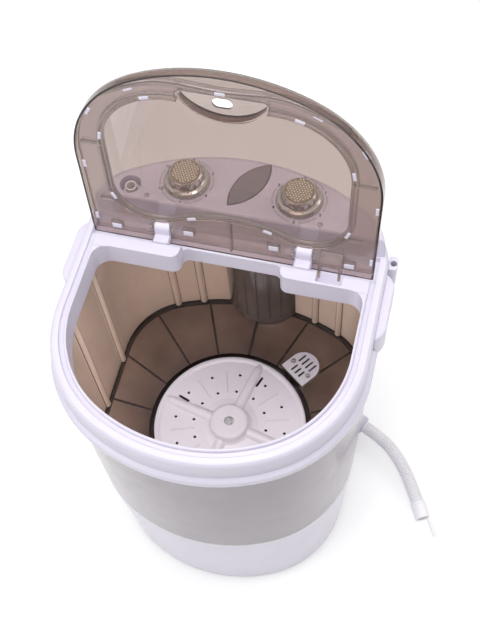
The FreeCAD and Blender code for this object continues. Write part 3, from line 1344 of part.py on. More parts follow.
def hose_cuff():
    """Smooth end sleeve round the last ribs, with a thin peg that fits the socket on the cabinet's side."""
    wire, radii = rounded_route(hose_points(), 0.45)
    end, heading = point_along(wire, wire.Length)
    straight = 0.55 * HOSE_RUN
    overlap = min(straight, CUFF_LENGTH * 0.5)
    start = end - heading * overlap
    sleeve = Part.makeCylinder(CUFF_R, overlap + 4.0, start, heading)
    sleeve = sleeve.cut(Part.makeCylinder(HOSE_R + RUN_FIT, overlap + 0.01, start, heading))
    sleeve = sleeve.cut(Part.makeCylinder(HOSE_BORE_R, 30, end - heading, heading))
    side = at(0, 0, 1).cross(heading)
    side.normalize()
    root = end + side * (CUFF_R - PEG_R + 0.4) - heading * 2.0
    peg = Part.makeCylinder(PEG_R, PEG_LENGTH, root, heading)
    peg = peg.cut(Part.makeCylinder(HOSE_BORE_R, 5.9, end - heading, heading))
    peg = peg.cut(Part.makeCylinder(HOSE_R + RUN_FIT, 20.0, end - heading * 20.0, heading))
    tip = Part.makeCone(PEG_R, PEG_R * 0.5, 3.0, root + heading * PEG_LENGTH, heading)
    return sleeve.fuse([peg, tip]).removeSplitter()


def main():
    os.makedirs(OUT, exist_ok=True)
    group = Part.makeCompound
    save("base_housing", base_housing())
    save("base_plate", base_plate())
    save("feet", group([foot(x, y) for x, y in foot_places()]))
    save("base_screws", group([base_screw(x, y) for x, y in screw_places()]))
    save("tub_wall", tub_wall())
    save("tub_pan", tub_pan())
    save("overflow_cover", overflow_cover())
    save("drain_filter", drain_filter())
    save("filter_screws", group([filter_screw(x, y) for x, y in filter_screw_places()]))
    save("rear_cover", rear_cover())
    save("cord_gland", cord_gland())
    save("top_frame", top_frame())
    save("control_panel", control_panel())
    save("panel_inlay", leaf(-SLIP, PANEL_TOP - 1.8, PANEL_TOP + 0.5))
    save("water_inlet", water_inlet())
    for name, side in (("wash", -1), ("spin", 1)):
        save(name + "_timer", timer(side * KNOB_X))
        save(name + "_timer_shaft", timer_shaft(side * KNOB_X))
        save(name + "_knob", knob(side * KNOB_X))
    save("lid_shell", swing_open(lid_shell()))
    save("lid_inner_frame", swing_open(lid_inner_frame()))
    save("lid_grip_cup", swing_open(lid_grip_cup()))
    save("lid_clips", swing_open(group(lid_clips())))
    save("hinge_pins", group([hinge_pin(-POST_X), hinge_pin(POST_X)]))
    save("side_grip_left", side_grip(-1))
    save("side_grip_right", side_grip(1))
    save("hose_socket", hose_socket())
    save("pulsator", pulsator())
    save("pulsator_screw", pulsator_screw())
    save("drive_shaft", drive_shaft())
    save("shaft_bearing", shaft_bearing())
    save("shaft_seal", shaft_seal())
    save("driven_pulley", grooved_pulley(DRIVEN_R, SHAFT_R, PULSATOR_Y, 5))
    save("motor_pulley", grooved_pulley(DRIVER_R, MOTOR_SHAFT_R, MOTOR_Y, 0))
    save("drive_belt", drive_belt())
    save("motor", motor())
    save("motor_bracket", motor_bracket())
    save("motor_screws", group([motor_screw(x, y) for x, y in motor_screw_places()]))
    save("motor_shaft", motor_shaft())
    save("rotor_core", rotor_core())
    save("capacitor", capacitor())
    save("drain_pipe", drain_pipe())
    save("hose_connector", hose_connector())
    save("drain_hose", drain_hose())
    save("hose_cuff", hose_cuff())


main()
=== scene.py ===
import json
import math

import bmesh
import bpy
from bpy.props import FloatProperty, FloatVectorProperty, IntProperty, PointerProperty
from bpy.types import NodeSocket, Operator, Panel, PropertyGroup
from mathutils import Matrix, Vector


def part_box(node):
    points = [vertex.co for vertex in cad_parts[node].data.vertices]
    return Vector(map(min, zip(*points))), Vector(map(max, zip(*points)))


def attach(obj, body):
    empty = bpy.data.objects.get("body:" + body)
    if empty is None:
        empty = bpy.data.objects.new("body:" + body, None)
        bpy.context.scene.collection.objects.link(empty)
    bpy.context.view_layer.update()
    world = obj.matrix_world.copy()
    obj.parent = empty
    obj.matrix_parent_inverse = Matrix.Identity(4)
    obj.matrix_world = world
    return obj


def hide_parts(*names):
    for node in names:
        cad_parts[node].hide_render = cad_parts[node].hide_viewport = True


bl_info = {
    "name": "Portable Washing Machine Finish",
    "version": (1, 0, 0),
    "blender": (4, 5, 0),
    "location": "3D View > Sidebar > Washer",
    "description": "Finishes the plastic, rubber and metal pieces of a small portable washing machine",
    "category": "Object",
}

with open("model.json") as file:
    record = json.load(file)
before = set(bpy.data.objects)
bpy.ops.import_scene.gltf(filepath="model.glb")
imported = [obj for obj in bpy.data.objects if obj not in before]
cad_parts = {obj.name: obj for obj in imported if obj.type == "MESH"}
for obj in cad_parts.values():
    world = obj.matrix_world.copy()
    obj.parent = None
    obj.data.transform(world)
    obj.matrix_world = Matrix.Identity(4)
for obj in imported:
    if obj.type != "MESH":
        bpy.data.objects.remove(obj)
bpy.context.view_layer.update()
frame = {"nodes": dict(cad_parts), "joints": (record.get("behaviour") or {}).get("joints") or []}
NODES = frame["nodes"]
JOINT_PLACES = {joint["name"]: Vector(joint["pos_m"]) for joint in frame["joints"]}
PANEL_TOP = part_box("control_panel")[1].z

# Route of the drain hose in metres, from the connector on the base to the cuff.
HOSE_ROUTE = (
    (0.17746, 0.09412, 0.0270),
    (0.21583, 0.07704, 0.0270),
    (0.24604, 0.04786, 0.0205),
    (0.26953, 0.01304, 0.0145),
    (0.28930, -0.02402, 0.0119),
)

# Camera of the photograph: angles in degrees, place in metres, lens and sensor width in millimetres.
CAMERA_AZIMUTH = 19.63
CAMERA_ELEVATION = 60.99
CAMERA_ROLL = -6.58
CAMERA_PLACE = (0.2075, -0.5055, 1.4725)
CAMERA_LENS = 56.29
CAMERA_SENSOR = 36.0

# Studio: the point that the lamps look at, half the floor's side in metres, how much the floor shines to the
# eye, and how bright the background is straight above.
LAMP_TARGET = (0.0, 0.0, 0.35)
FLOOR_HALF_SIDE = 6.0
FLOOR_GLOW = 0.42
OVERHEAD_LIGHT = 1.15

# Tub pan: its radial ribs, one of them along +X, lengths in metres, and the painted shade that darkens it
# near the well and brightens it outwards.
PAN_RIBS = 16
PAN_RIB_HALF_WIDTH = 0.0016
PAN_WELL_RADIUS = 0.1135
PAN_EDGE_LINE = 0.0005
PAN_SLOPE_RADII = (0.113, 0.165)
PAN_PAINTED_SHADES = (0.6, 1.2)

# Tub wall: the dark line at its foot in metres, its colour, which is also the painted shade beside the
# flutes' edges, how dense the film looks, and what stains add.
TUB_SEAM = 0.004
TUB_SEAM_AND_SHADE_COLOUR = (0.05, 0.04, 0.03)
TUB_FILM = 0.88
TUB_STAINS = 0.08

# See-through plastics: shares of the lamp light and bounced light that pass them, and the lid's refraction.
TUB_PASSING = 0.84
LID_PASSING = 1.0
PLASTIC_IOR = 1.46

# Moulding grain: its scale per metre and its depth in metres. Then the samples that soften an edge.
FINE_GRAIN = 2400.0
COARSE_GRAIN = 900.0
GRAIN_DEPTH = 0.0004
EDGE_SAMPLES = 6

# Dials: marks, joint, step from number to number, and the clock sign's place from the knob's axis in metres.
DIALS = (
    ("wash_dial_marks", "wash_dial_turn", 3, (-0.0405, -0.0285)),
    ("spin_dial_marks", "spin_dial_turn", 1, (0.0300, -0.0285)),
)

# Numbers of a dial, the first one's angle and the angle between two in degrees, how far their outline is
# widened as a share of their height, and the sides of a dot.
DIAL_NUMBERS = 6
DIAL_FIRST_ANGLE = 90.0
DIAL_NUMBER_ANGLE = 60.0
NUMBER_BOLDNESS = 0.03
DOT_SIDES = 10

# Clock sign: radius in metres, half the ring's line width as a share of it, a hand's width in such half
# widths, each hand's angle in degrees and length as a share of the radius, and the sides of the ring.
CLOCK_RADIUS = 0.0028
CLOCK_HALF_LINE = 0.14
HAND_WIDTH = 1.6
CLOCK_HANDS = ((90.0, 0.62), (0.0, 0.45))
CLOCK_SIDES = 40

# Knobs: node, joint and body.
KNOBS = (
    ("wash_knob", "wash_dial_turn", "wash_dial"),
    ("spin_knob", "spin_dial_turn", "spin_dial"),
)

# Knob faces: profile as shares of the radius and heights in metres, and the dome that the dots follow.
FACE_PROFILE = (
    (0.0, 0.0010), (0.55, 0.0008), (0.9, 0.0003), (1.0, -0.0004), (0.96, -0.0008), (0.0, -0.0008))
FACE_STEPS = 48
FACE_RISE = 0.0010
FACE_FALL = 0.0007

# Knob dots: from row to row as a share of the pitch, how far out they go, and their height by their width.
ROW_SHARE = 0.866
DOTS_REACH = 0.90
DOT_FLATNESS = 0.45

# Hose: sides of its rings, and places of the bore's rings as shares of its length, from the cuff back.
HOSE_SIDES = 40
BORE_RINGS = (1.0, 0.75, 0.5, 0.25, 0.0)

# CAD nodes by finish.
WHITE_NODES = (
    "base_housing", "top_frame", "rear_cover", "control_panel",
    "side_grip_left", "side_grip_right", "hose_socket", "hose_connector")
GREY_NODES = ("base_plate", "wash_timer", "spin_timer", "drain_pipe", "driven_pulley", "motor_pulley")
RUBBER_NODES = ("feet", "cord_gland", "drive_belt", "shaft_seal")
STEEL_NODES = (
    "base_screws", "filter_screws", "pulsator_screw", "hinge_pins", "motor_screws", "motor_shaft",
    "rotor_core", "drive_shaft", "wash_timer_shaft", "spin_timer_shaft", "motor_bracket", "capacitor")


def colour_property(name, description, default):
    return FloatVectorProperty(
        name=name, description=description, default=default, subtype="COLOR", size=3, min=0.0, max=1.0)


def length_property(name, description, default):
    return FloatProperty(
        name=name, description=description, default=default, unit="LENGTH", subtype="DISTANCE", precision=5)


class WasherColours(PropertyGroup):
    """Base colours of the finishes, scene linear."""

    white: colour_property("White", "Body, rim and panel plastic", (0.745, 0.705, 0.825))
    pulsator: colour_property("Pulsator", "Off-white plastic in the tub", (0.75, 0.685, 0.745))
    shell: colour_property("Lid shell", "See-through lid plastic", (0.56, 0.465, 0.43))
    frame: colour_property("Lid frame", "See-through plastic of the lid's inner frame", (0.68, 0.585, 0.565))
    tub: colour_property("Tub inside", "Warm see-through tub plastic", (1.0, 0.73, 0.57))
    haze: colour_property("Tub outside", "Hazed outer face of the tub", (0.165, 0.115, 0.16))
    pan: colour_property("Tub pan", "Brown plastic of the tub pan", (0.225, 0.138, 0.10))
    column: colour_property("Column", "Brown plastic of the overflow column", (0.15, 0.115, 0.10))
    inlay: colour_property("Panel inlay", "Dark leaf on the panel", (0.30, 0.275, 0.31))
    inlay_border: colour_property("Inlay border", "Darker line round the leaf", (0.05, 0.05, 0.06))
    knob: colour_property("Knob", "Silvered knob under clear plastic", (0.70, 0.70, 0.68))
    knob_face: colour_property("Knob face", "Beige foil under the knob's top", (0.40, 0.32, 0.22))
    knob_bead: colour_property("Knob dots", "Bright dots on the knob's top", (1.0, 0.98, 0.92))
    hose: colour_property("Hose", "Pale ribbed hose plastic", (0.97, 0.95, 0.98))
    # The groove colour is painted shade between the hose ribs.
    hose_groove_shade: colour_property("Hose grooves", "Between the hose ribs", (0.84, 0.82, 0.85))
    grey: colour_property("Grey plastic", "Plain grey plastic inside the base", (0.20, 0.20, 0.21))
    rubber: colour_property("Rubber", "Black rubber", (0.018, 0.018, 0.019))
    steel: colour_property("Steel", "Bare steel", (0.56, 0.56, 0.57))
    bronze: colour_property("Bronze", "Sintered bronze bearing", (0.46, 0.29, 0.13))
    motor: colour_property("Motor paint", "Dark paint on the motor", (0.035, 0.04, 0.05))
    ink: colour_property("Print", "Ink of the dial marks", (0.03, 0.03, 0.035))
    floor: colour_property("Floor", "Studio floor", (0.80, 0.80, 0.80))


class WasherSizes(PropertyGroup):
    """Sizes of the pieces that the finish adds."""

    dial_radius: length_property("Dial radius", "From the knob axis to the dial marks", 0.0315)
    dot_radius: length_property("Dot radius", "Dots between the dial numbers", 0.00072)
    number_height: length_property("Number height", "Height of the dial numbers", 0.0058)
    print_height: length_property("Print height", "Thickness of the printed marks", 0.00008)
    dots_between: IntProperty(name="Dots", description="Dot places between two numbers", default=9, min=1)
    face_radius: length_property("Knob face radius", "Dotted face on top of a knob", 0.0172)
    face_dot: length_property("Face dot radius", "Raised dots of the knob face", 0.00125)
    face_pitch: length_property("Face dot pitch", "From one dot of the knob face to the next", 0.0034)
    hose_crest: length_property("Hose crest radius", "Outer radius of the hose ribs", 0.0100)
    hose_root: length_property("Hose root radius", "Radius between the hose ribs", 0.0083)
    hose_bore: length_property("Hose bore radius", "Inner radius of the hose", 0.0077)
    hose_pitch: length_property("Hose rib pitch", "From one rib to the next", 0.0029)


class WasherLight(PropertyGroup):
    """Studio light."""

    world: FloatProperty(name="World", description="Strength of the even light", default=0.55, min=0.0)
    key: FloatProperty(name="Key", description="Large lamp at the front left", default=12.0, unit="POWER")
    rim: FloatProperty(name="Rim", description="Lamp at the rear right", default=7.5, unit="POWER")
    top: FloatProperty(name="Top", description="Lamp above", default=16.0, unit="POWER")


class Shading:
    """Adds nodes to one shader tree and joins their sockets."""

    def __init__(self, tree):
        self.tree = tree

    def node(self, kind, inputs=None, **settings):
        made = self.tree.nodes.new(kind)
        for key, value in settings.items():
            setattr(made, key, value)
        for key, value in (inputs or {}).items():
            self.feed(made.inputs[key], value)
        return made

    def feed(self, socket, value):
        if isinstance(value, NodeSocket):
            self.tree.links.new(value, socket)
        else:
            socket.default_value = value

    def math(self, operation, *values):
        return self.node("ShaderNodeMath", dict(enumerate(values)), operation=operation).outputs[0]

    def vector(self, operation, *values):
        """Vector result of a vector operation."""
        return self.node("ShaderNodeVectorMath", dict(enumerate(values)), operation=operation).outputs[0]

    def dot(self, first, second):
        made = self.node("ShaderNodeVectorMath", {0: first, 1: second}, operation="DOT_PRODUCT")
        return made.outputs["Value"]

    def scaled(self, vector, factor):
        return self.node("ShaderNodeVectorMath", {0: vector, "Scale": factor}, operation="SCALE").outputs[0]

    def remap(self, value, low, high):
        """Stretches the values from 0.3 to 0.7 to the range from low to high."""
        made = self.node("ShaderNodeMapRange", {"Value": value, "From Min": 0.3, "From Max": 0.7})
        self.feed(made.inputs["To Min"], low)
        self.feed(made.inputs["To Max"], high)
        return made.outputs["Result"]

    def mix(self, factor, first, second):
        made = self.node("ShaderNodeMix", data_type="RGBA")
        self.feed(made.inputs["Factor"], factor)
        self.feed(made.inputs["A"], first)
        self.feed(made.inputs["B"], second)
        return made.outputs["Result"]

    def group(self, tree):
        return self.node("ShaderNodeGroup", node_tree=tree)

    def noise(self, scale, detail, stretch=None):
        """Noise on Object coordinates, drawn out by a stretch along X, Y and Z."""
        place = self.node("ShaderNodeTexCoord").outputs["Object"]
        if stretch:
            place = self.node("ShaderNodeMapping", {"Vector": place, "Scale": stretch}).outputs["Vector"]
        made = self.node("ShaderNodeTexNoise", {"Vector": place, "Detail": detail})
        self.feed(made.inputs["Scale"], scale)
        return made.outputs["Fac"]


def rgba(colour, share=1.0):
    """Colour for a shader socket, darkened to a share of itself."""
    return (*(share * part for part in colour), 1.0)


def shader_group(name, inputs, outputs):
    """New node group; inputs are (name, kind, default), outputs are (name, kind)."""
    group = bpy.data.node_groups.new(name, "ShaderNodeTree")
    for label, kind, default in inputs:
        group.interface.new_socket(label, in_out="INPUT", socket_type=kind).default_value = default
    for label, kind in outputs:
        group.interface.new_socket(label, in_out="OUTPUT", socket_type=kind)
    shading = Shading(group)
    start = shading.node("NodeGroupInput").outputs
    end = shading.node("NodeGroupOutput").inputs
    return shading, start, end


def moulded_grain():
    """Cloudy tone, uneven gloss and a fine moulding grain."""
    name = "moulded_grain"
    if name not in bpy.data.node_groups:
        inputs = [
            ("Colour", "NodeSocketColor", (0.8, 0.8, 0.8, 1.0)), ("Spread", "NodeSocketFloat", 0.05),
            ("Roughness", "NodeSocketFloat", 0.4), ("Grain", "NodeSocketFloat", 2200.0)]
        outputs = [
            ("Colour", "NodeSocketColor"), ("Roughness", "NodeSocketFloat"), ("Height", "NodeSocketFloat")]
        shading, start, end = shader_group(name, inputs, outputs)
        cloud = shading.noise(11.0, detail=4.0)
        patch = shading.noise(34.0, detail=3.0)
        darker = shading.math("SUBTRACT", 1.0, start["Spread"])
        shade = shading.remap(cloud, darker, 1.0)
        shading.feed(end["Colour"], shading.scaled(start["Colour"], shade))
        low = shading.math("MULTIPLY", start["Roughness"], 0.82)
        high = shading.math("MULTIPLY", start["Roughness"], 1.18)
        shading.feed(end["Roughness"], shading.remap(patch, low, high))
        shading.feed(end["Height"], shading.noise(start["Grain"], detail=2.0))
    return bpy.data.node_groups[name]


def drying_marks():
    """Mask of faint runs and blotches left where water has dried."""
    name = "drying_marks"
    if name not in bpy.data.node_groups:
        inputs = [("Blotch", "NodeSocketFloat", 26.0), ("Runs", "NodeSocketFloat", 60.0)]
        shading, start, end = shader_group(name, inputs, [("Mask", "NodeSocketFloat")])
        blotch = shading.noise(start["Blotch"], detail=5.0)
        runs = shading.noise(start["Runs"], detail=3.0, stretch=(1.0, 1.0, 0.12))
        both = shading.math("MULTIPLY", shading.remap(blotch, 0.0, 1.0), shading.remap(runs, 0.25, 1.0))
        shading.feed(end["Mask"], both)
    return bpy.data.node_groups[name]


def fine_scratches():
    """Mask of thin handling marks in two directions."""
    name = "fine_scratches"
    if name not in bpy.data.node_groups:
        inputs = [("Scale", "NodeSocketFloat", 30.0)]
        shading, start, end = shader_group(name, inputs, [("Mask", "NodeSocketFloat")])
        lengthwise = shading.noise(start["Scale"], detail=6.0, stretch=(1.0, 24.0, 3.0))
        across = shading.noise(start["Scale"], detail=6.0, stretch=(20.0, 1.0, 2.0))
        first = shading.node("ShaderNodeMapRange", {"Value": lengthwise, "From Min": 0.66, "From Max": 0.74})
        second = shading.node("ShaderNodeMapRange", {"Value": across, "From Min": 0.67, "From Max": 0.75})
        shading.feed(end["Mask"], shading.math("MAXIMUM", first.outputs[0], second.outputs[0]))
    return bpy.data.node_groups[name]


def new_material(name):
    material = bpy.data.materials.new(name)
    material.use_nodes = True
    return material, Shading(material.node_tree), material.node_tree.nodes["Principled BSDF"]


def grained(shading, bsdf, colour, spread, roughness, grain, bump):
    """Gives a shader the moulded grain; returns the grain group's outputs."""
    values = {"Colour": rgba(colour), "Spread": spread, "Roughness": roughness, "Grain": grain}
    group = shading.group(moulded_grain())
    for key, value in values.items():
        group.inputs[key].default_value = value
    shading.feed(bsdf.inputs["Base Color"], group.outputs["Colour"])
    shading.feed(bsdf.inputs["Roughness"], group.outputs["Roughness"])
    relief = shading.node("ShaderNodeBump", {"Strength": bump, "Distance": GRAIN_DEPTH})
    shading.feed(relief.inputs["Height"], group.outputs["Height"])
    shading.feed(bsdf.inputs["Normal"], relief.outputs["Normal"])
    return group.outputs


def softened(shading, radius):
    """Normal with a piece's edges rounded to a radius."""
    return shading.node("ShaderNodeBevel", {"Radius": radius}, samples=EDGE_SAMPLES).outputs["Normal"]


def near_edges(shading, radius):
    """Mask of the strips beside a piece's sharp edges."""
    normal = shading.node("ShaderNodeNewGeometry").outputs["Normal"]
    match = shading.dot(softened(shading, radius), normal)
    strip = {"Value": match, "From Min": 0.99, "From Max": 0.93}
    return shading.node("ShaderNodeMapRange", strip).outputs["Result"]


def moulded(name, colour, roughness=0.38, spread=0.04, grain=FINE_GRAIN, bump=0.05, coat=0.0, edge=0.0):
    """Solid plastic, rubber, paint or ink, with its edges softened to a radius where one is given."""
    material, shading, bsdf = new_material(name)
    grained(shading, bsdf, colour, spread, roughness, grain, bump)
    bsdf.inputs["Coat Weight"].default_value = coat
    bsdf.inputs["Coat Roughness"].default_value = 0.12
    if edge:
        relief = bsdf.inputs["Normal"].links[0].from_node
        shading.feed(relief.inputs["Normal"], softened(shading, edge))
    return material


def light_let_through(shading, share):
    """Share of the lamp light and bounced light that passes a see-through plastic unseen by the eye."""
    path = shading.node("ShaderNodeLightPath").outputs
    freely = shading.math("MAXIMUM", path["Is Shadow Ray"], path["Is Diffuse Ray"])
    return shading.math("MULTIPLY", freely, share)


def see_through(name, colour, transmission, roughness, bump=0.0, edge=0.0):
    """Smoky or clear plastic that light passes, deeper in tone edge-on and beside edges, finely scratched."""
    material, shading, bsdf = new_material(name)
    outputs = grained(shading, bsdf, colour, spread=0.05, roughness=roughness, grain=COARSE_GRAIN, bump=bump)
    deep = shading.node("ShaderNodeLayerWeight", {"Blend": 0.15}).outputs["Facing"]
    if edge:
        deep = shading.math("MAXIMUM", deep, near_edges(shading, edge))
    toned = shading.mix(deep, outputs["Colour"], rgba(colour, share=0.3))
    shading.feed(bsdf.inputs["Base Color"], toned)
    scratches = shading.group(fine_scratches()).outputs["Mask"]
    dulled = shading.math("MULTIPLY_ADD", scratches, 0.10, outputs["Roughness"])
    shading.feed(bsdf.inputs["Roughness"], dulled)
    bsdf.inputs["Transmission Weight"].default_value = transmission
    bsdf.inputs["IOR"].default_value = PLASTIC_IOR
    alpha = shading.math("SUBTRACT", 1.0, light_let_through(shading, LID_PASSING))
    shading.feed(bsdf.inputs["Alpha"], alpha)
    return material


def tub_plastic(name, inside, outside):
    """Smoky wall of the tub: a warm film inside, a cooler haze on its outer face, with drying marks, a dark
    line at its foot and painted shade beside the flutes' edges.

    Lamp light and bounced light pass it more freely than it looks, so the tub is light inside.
    """
    material, shading, bsdf = new_material(name)
    outputs = grained(shading, bsdf, inside, spread=0.16, roughness=0.2, grain=COARSE_GRAIN, bump=0.01)
    place = shading.node("ShaderNodeTexCoord").outputs["Object"]
    level = shading.vector("MULTIPLY", place, (1.0, 1.0, 0.0))
    normal = shading.node("ShaderNodeNewGeometry").outputs["Normal"]
    outer = shading.math("GREATER_THAN", shading.dot(level, normal), 0.0)
    faces = shading.mix(outer, outputs["Colour"], rgba(outside))
    height = shading.node("ShaderNodeSeparateXYZ", {0: place}).outputs["Z"]
    seam = shading.math("LESS_THAN", height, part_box("tub_wall")[0].z + TUB_SEAM)
    # Painted shade beside the flutes' edges, joined with the dark line at the wall's foot.
    line = shading.math("MAXIMUM", seam, near_edges(shading, radius=0.0022))
    shading.feed(bsdf.inputs["Base Color"], shading.mix(line, faces, rgba(TUB_SEAM_AND_SHADE_COLOUR)))
    stains = shading.group(drying_marks()).outputs["Mask"]
    marked = shading.math("ADD", TUB_FILM, shading.math("MULTIPLY", stains, TUB_STAINS))
    alpha = shading.math("SUBTRACT", marked, light_let_through(shading, TUB_PASSING))
    shading.feed(bsdf.inputs["Alpha"], alpha)
    bsdf.inputs["Coat Weight"].default_value = 0.6
    bsdf.inputs["Coat Roughness"].default_value = 0.1
    return material


def ribbed_pan(name, colour):
    """Glossy brown plastic with cloudy tone, painted shade along the ribs and in the well, painted shade and
    light that darken it towards the well and brighten it outwards, and a dark line at the upper edge.
    """
    material, shading, bsdf = new_material(name)
    outputs = grained(shading, bsdf, colour, spread=0.5, roughness=0.16, grain=COARSE_GRAIN, bump=0.02)
    place = shading.node("ShaderNodeTexCoord").outputs["Object"]
    away = shading.vector("SUBTRACT", place, JOINT_PLACES["agitator_spin"])
    level = shading.vector("MULTIPLY", away, (1.0, 1.0, 0.0))
    reach = shading.node("ShaderNodeVectorMath", {0: level}, operation="LENGTH").outputs["Value"]
    parts = shading.node("ShaderNodeSeparateXYZ", {0: level}).outputs
    half = math.pi / PAN_RIBS
    angle = shading.math("ARCTAN2", parts["Y"], parts["X"])
    nearest = shading.math("WRAP", angle, -half, half)
    across = shading.math("MULTIPLY", shading.math("ABSOLUTE", nearest), reach)
    # Painted shade: the ribs and the well are darkened as if shaded; the upper edge gets a dark joint line.
    rib = shading.math("LESS_THAN", across, PAN_RIB_HALF_WIDTH)
    well = shading.math("LESS_THAN", reach, PAN_WELL_RADIUS)
    height = shading.node("ShaderNodeSeparateXYZ", {0: place}).outputs["Z"]
    edge = shading.math("GREATER_THAN", height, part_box("tub_pan")[1].z - PAN_EDGE_LINE)
    line = shading.math("MAXIMUM", rib, shading.math("MAXIMUM", well, edge))
    # Painted shade and light: darker near the well, brighter further out.
    inner, outer = PAN_SLOPE_RADII
    deep, light = PAN_PAINTED_SHADES
    slope = {"Value": reach, "From Min": inner, "From Max": outer, "To Min": deep, "To Max": light}
    painted_shade = shading.node("ShaderNodeMapRange", slope).outputs["Result"]
    shaded = shading.scaled(outputs["Colour"], painted_shade)
    shading.feed(bsdf.inputs["Base Color"], shading.mix(line, shaded, rgba(colour, share=0.14)))
    bsdf.inputs["Coat Weight"].default_value = 1.0
    bsdf.inputs["Coat Roughness"].default_value = 0.06
    return material


def hose_plastic(name, colour, groove_shade):
    """Pale plastic with painted shade between the ribs."""
    material, shading, bsdf = new_material(name)
    outputs = grained(shading, bsdf, colour, spread=0.06, roughness=0.42, grain=FINE_GRAIN, bump=0.05)
    depth = shading.node("ShaderNodeAttribute", attribute_name="groove").outputs["Fac"]
    shading.feed(bsdf.inputs["Base Color"], shading.mix(depth, outputs["Colour"], rgba(groove_shade)))
    return material


def bare_metal(name, colour, roughness, stretch=(6.0, 6.0, 90.0)):
    """Metal with drawn lines and light handling marks."""
    material, shading, bsdf = new_material(name)
    lines = shading.noise(40.0, detail=4.0, stretch=stretch)
    shading.feed(bsdf.inputs["Base Color"], shading.mix(lines, rgba(colour, share=0.78), rgba(colour)))
    shading.feed(bsdf.inputs["Roughness"], shading.remap(lines, roughness * 0.8, roughness * 1.3))
    relief = shading.node("ShaderNodeBump", {"Strength": 0.08, "Distance": 0.0003})
    shading.feed(relief.inputs["Height"], shading.group(fine_scratches()).outputs["Mask"])
    shading.feed(bsdf.inputs["Normal"], relief.outputs["Normal"])
    bsdf.inputs["Metallic"].default_value = 1.0
    return material


def silvered(name, colour):
    """Clear plastic over a silvered back, dark beside the facets' edges."""
    material, shading, bsdf = new_material(name)
    outputs = grained(shading, bsdf, colour, spread=0.06, roughness=0.14, grain=COARSE_GRAIN, bump=0.01)
    lined = shading.mix(near_edges(shading, radius=0.0012), outputs["Colour"], rgba(colour, share=0.25))
    shading.feed(bsdf.inputs["Base Color"], lined)
    bsdf.inputs["Metallic"].default_value = 0.75
    bsdf.inputs["Coat Weight"].default_value = 0.9
    bsdf.inputs["Coat Roughness"].default_value = 0.03
    return material


def finish_node(name, material):
    """Gives a CAD node its material."""
    slots = NODES[name].material_slots
    if not slots:
        raise RuntimeError(f"{name} has no material slot")
    for entry in slots:
        entry.link = "OBJECT"
        entry.material = material


def piece(name, mesh_data, material, body):
    """New piece at the origin with its place in its mesh, riding on a body."""
    made = bpy.data.objects.new(name, mesh_data)
    bpy.context.scene.collection.objects.link(made)
    made.data.materials.append(material)
    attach(made, body)
    return made


def mesh_of(name, bm, smooth=True):
    """Mesh from a bmesh, which is freed."""
    bmesh.ops.remove_doubles(bm, verts=bm.verts, dist=1e-6)
    bmesh.ops.recalc_face_normals(bm, faces=bm.faces)
    for face in bm.faces:
        face.smooth = smooth
    made = bpy.data.meshes.new(name)
    bm.to_mesh(made)
    bm.free()
    return made


def colours():
    return bpy.context.scene.washer_colours


def sizes():
    return bpy.context.scene.washer_sizes


class WASHER_OT_cabinet(Operator):
    """Finishes the white body, the tub and the pan"""

    bl_idname = "washer.cabinet"
    bl_label = "Cabinet and tub"

    def execute(self, context):
        tint = colours()
        white = moulded("white_plastic", tint.white, roughness=0.34, spread=0.03, coat=0.15, edge=0.0020)
        for name in WHITE_NODES:
            finish_node(name, white)
        finish_node("tub_wall", tub_plastic("smoky_tub_plastic", tint.tub, tint.haze))
        finish_node("tub_pan", ribbed_pan("brown_pan_plastic", tint.pan))
        column = moulded("brown_column_plastic", tint.column, roughness=0.2, spread=0.25, bump=0.02, coat=0.6)
        finish_node("overflow_cover", column)
        finish_node("water_inlet", moulded("inlet_plastic", tint.hose, roughness=0.4))
        return {"FINISHED"}


class WASHER_OT_lid(Operator):
    """Finishes the see-through lid and its clips"""

    bl_idname = "washer.lid"
    bl_label = "Lid"

    def execute(self, context):
        tint = colours()
        shell = see_through("smoky_lid_plastic", tint.shell, transmission=0.98, roughness=0.0)
        finish_node("lid_shell", shell)
        finish_node("lid_grip_cup", shell)
        frame_plastic = see_through(
            "smoky_frame_plastic", tint.frame, transmission=0.85, roughness=0.08, bump=0.01, edge=0.0022)
        finish_node("lid_inner_frame", frame_plastic)
        finish_node("lid_clips", moulded("clip_plastic", tint.white, roughness=0.3))
        return {"FINISHED"}


class WASHER_OT_wash_parts(Operator):
    """Finishes the pulsator and the drain filter"""

    bl_idname = "washer.wash_parts"
    bl_label = "Pulsator and filter"

    def execute(self, context):
        tint = colours()
        off_white = moulded("pulsator_plastic", tint.pulsator, spread=0.05, coat=0.1, edge=0.0012)
        finish_node("pulsator", off_white)
        finish_node("drain_filter", off_white)
        return {"FINISHED"}


class WASHER_OT_drive(Operator):
    """Finishes the drive, the feet and the fasteners"""

    bl_idname = "washer.drive"
    bl_label = "Drive"

    def execute(self, context):
        tint = colours()
        grey = moulded("grey_plastic", tint.grey, roughness=0.5, spread=0.1)
        for name in GREY_NODES:
            finish_node(name, grey)
        rubber = moulded("black_rubber", tint.rubber, roughness=0.7, spread=0.3, grain=1500.0, bump=0.2)
        for name in RUBBER_NODES:
            finish_node(name, rubber)
        steel = bare_metal("drawn_steel", tint.steel, roughness=0.28)
        for name in STEEL_NODES:
            finish_node(name, steel)
        bronze = bare_metal("sintered_bronze", tint.bronze, roughness=0.45, stretch=(30.0, 30.0, 30.0))
        finish_node("shaft_bearing", bronze)
        finish_node("motor", moulded("motor_paint", tint.motor, roughness=0.42, spread=0.2, bump=0.15))
        return {"FINISHED"}


def dial_dot(bm, centre, radius, height):
    """Flat round mark on the panel."""
    made = bmesh.ops.create_cone(
        bm, cap_ends=True, segments=DOT_SIDES, radius1=radius, radius2=radius, depth=height)
    bmesh.ops.translate(bm, verts=made["verts"], vec=centre + Vector((0, 0, height / 2)))


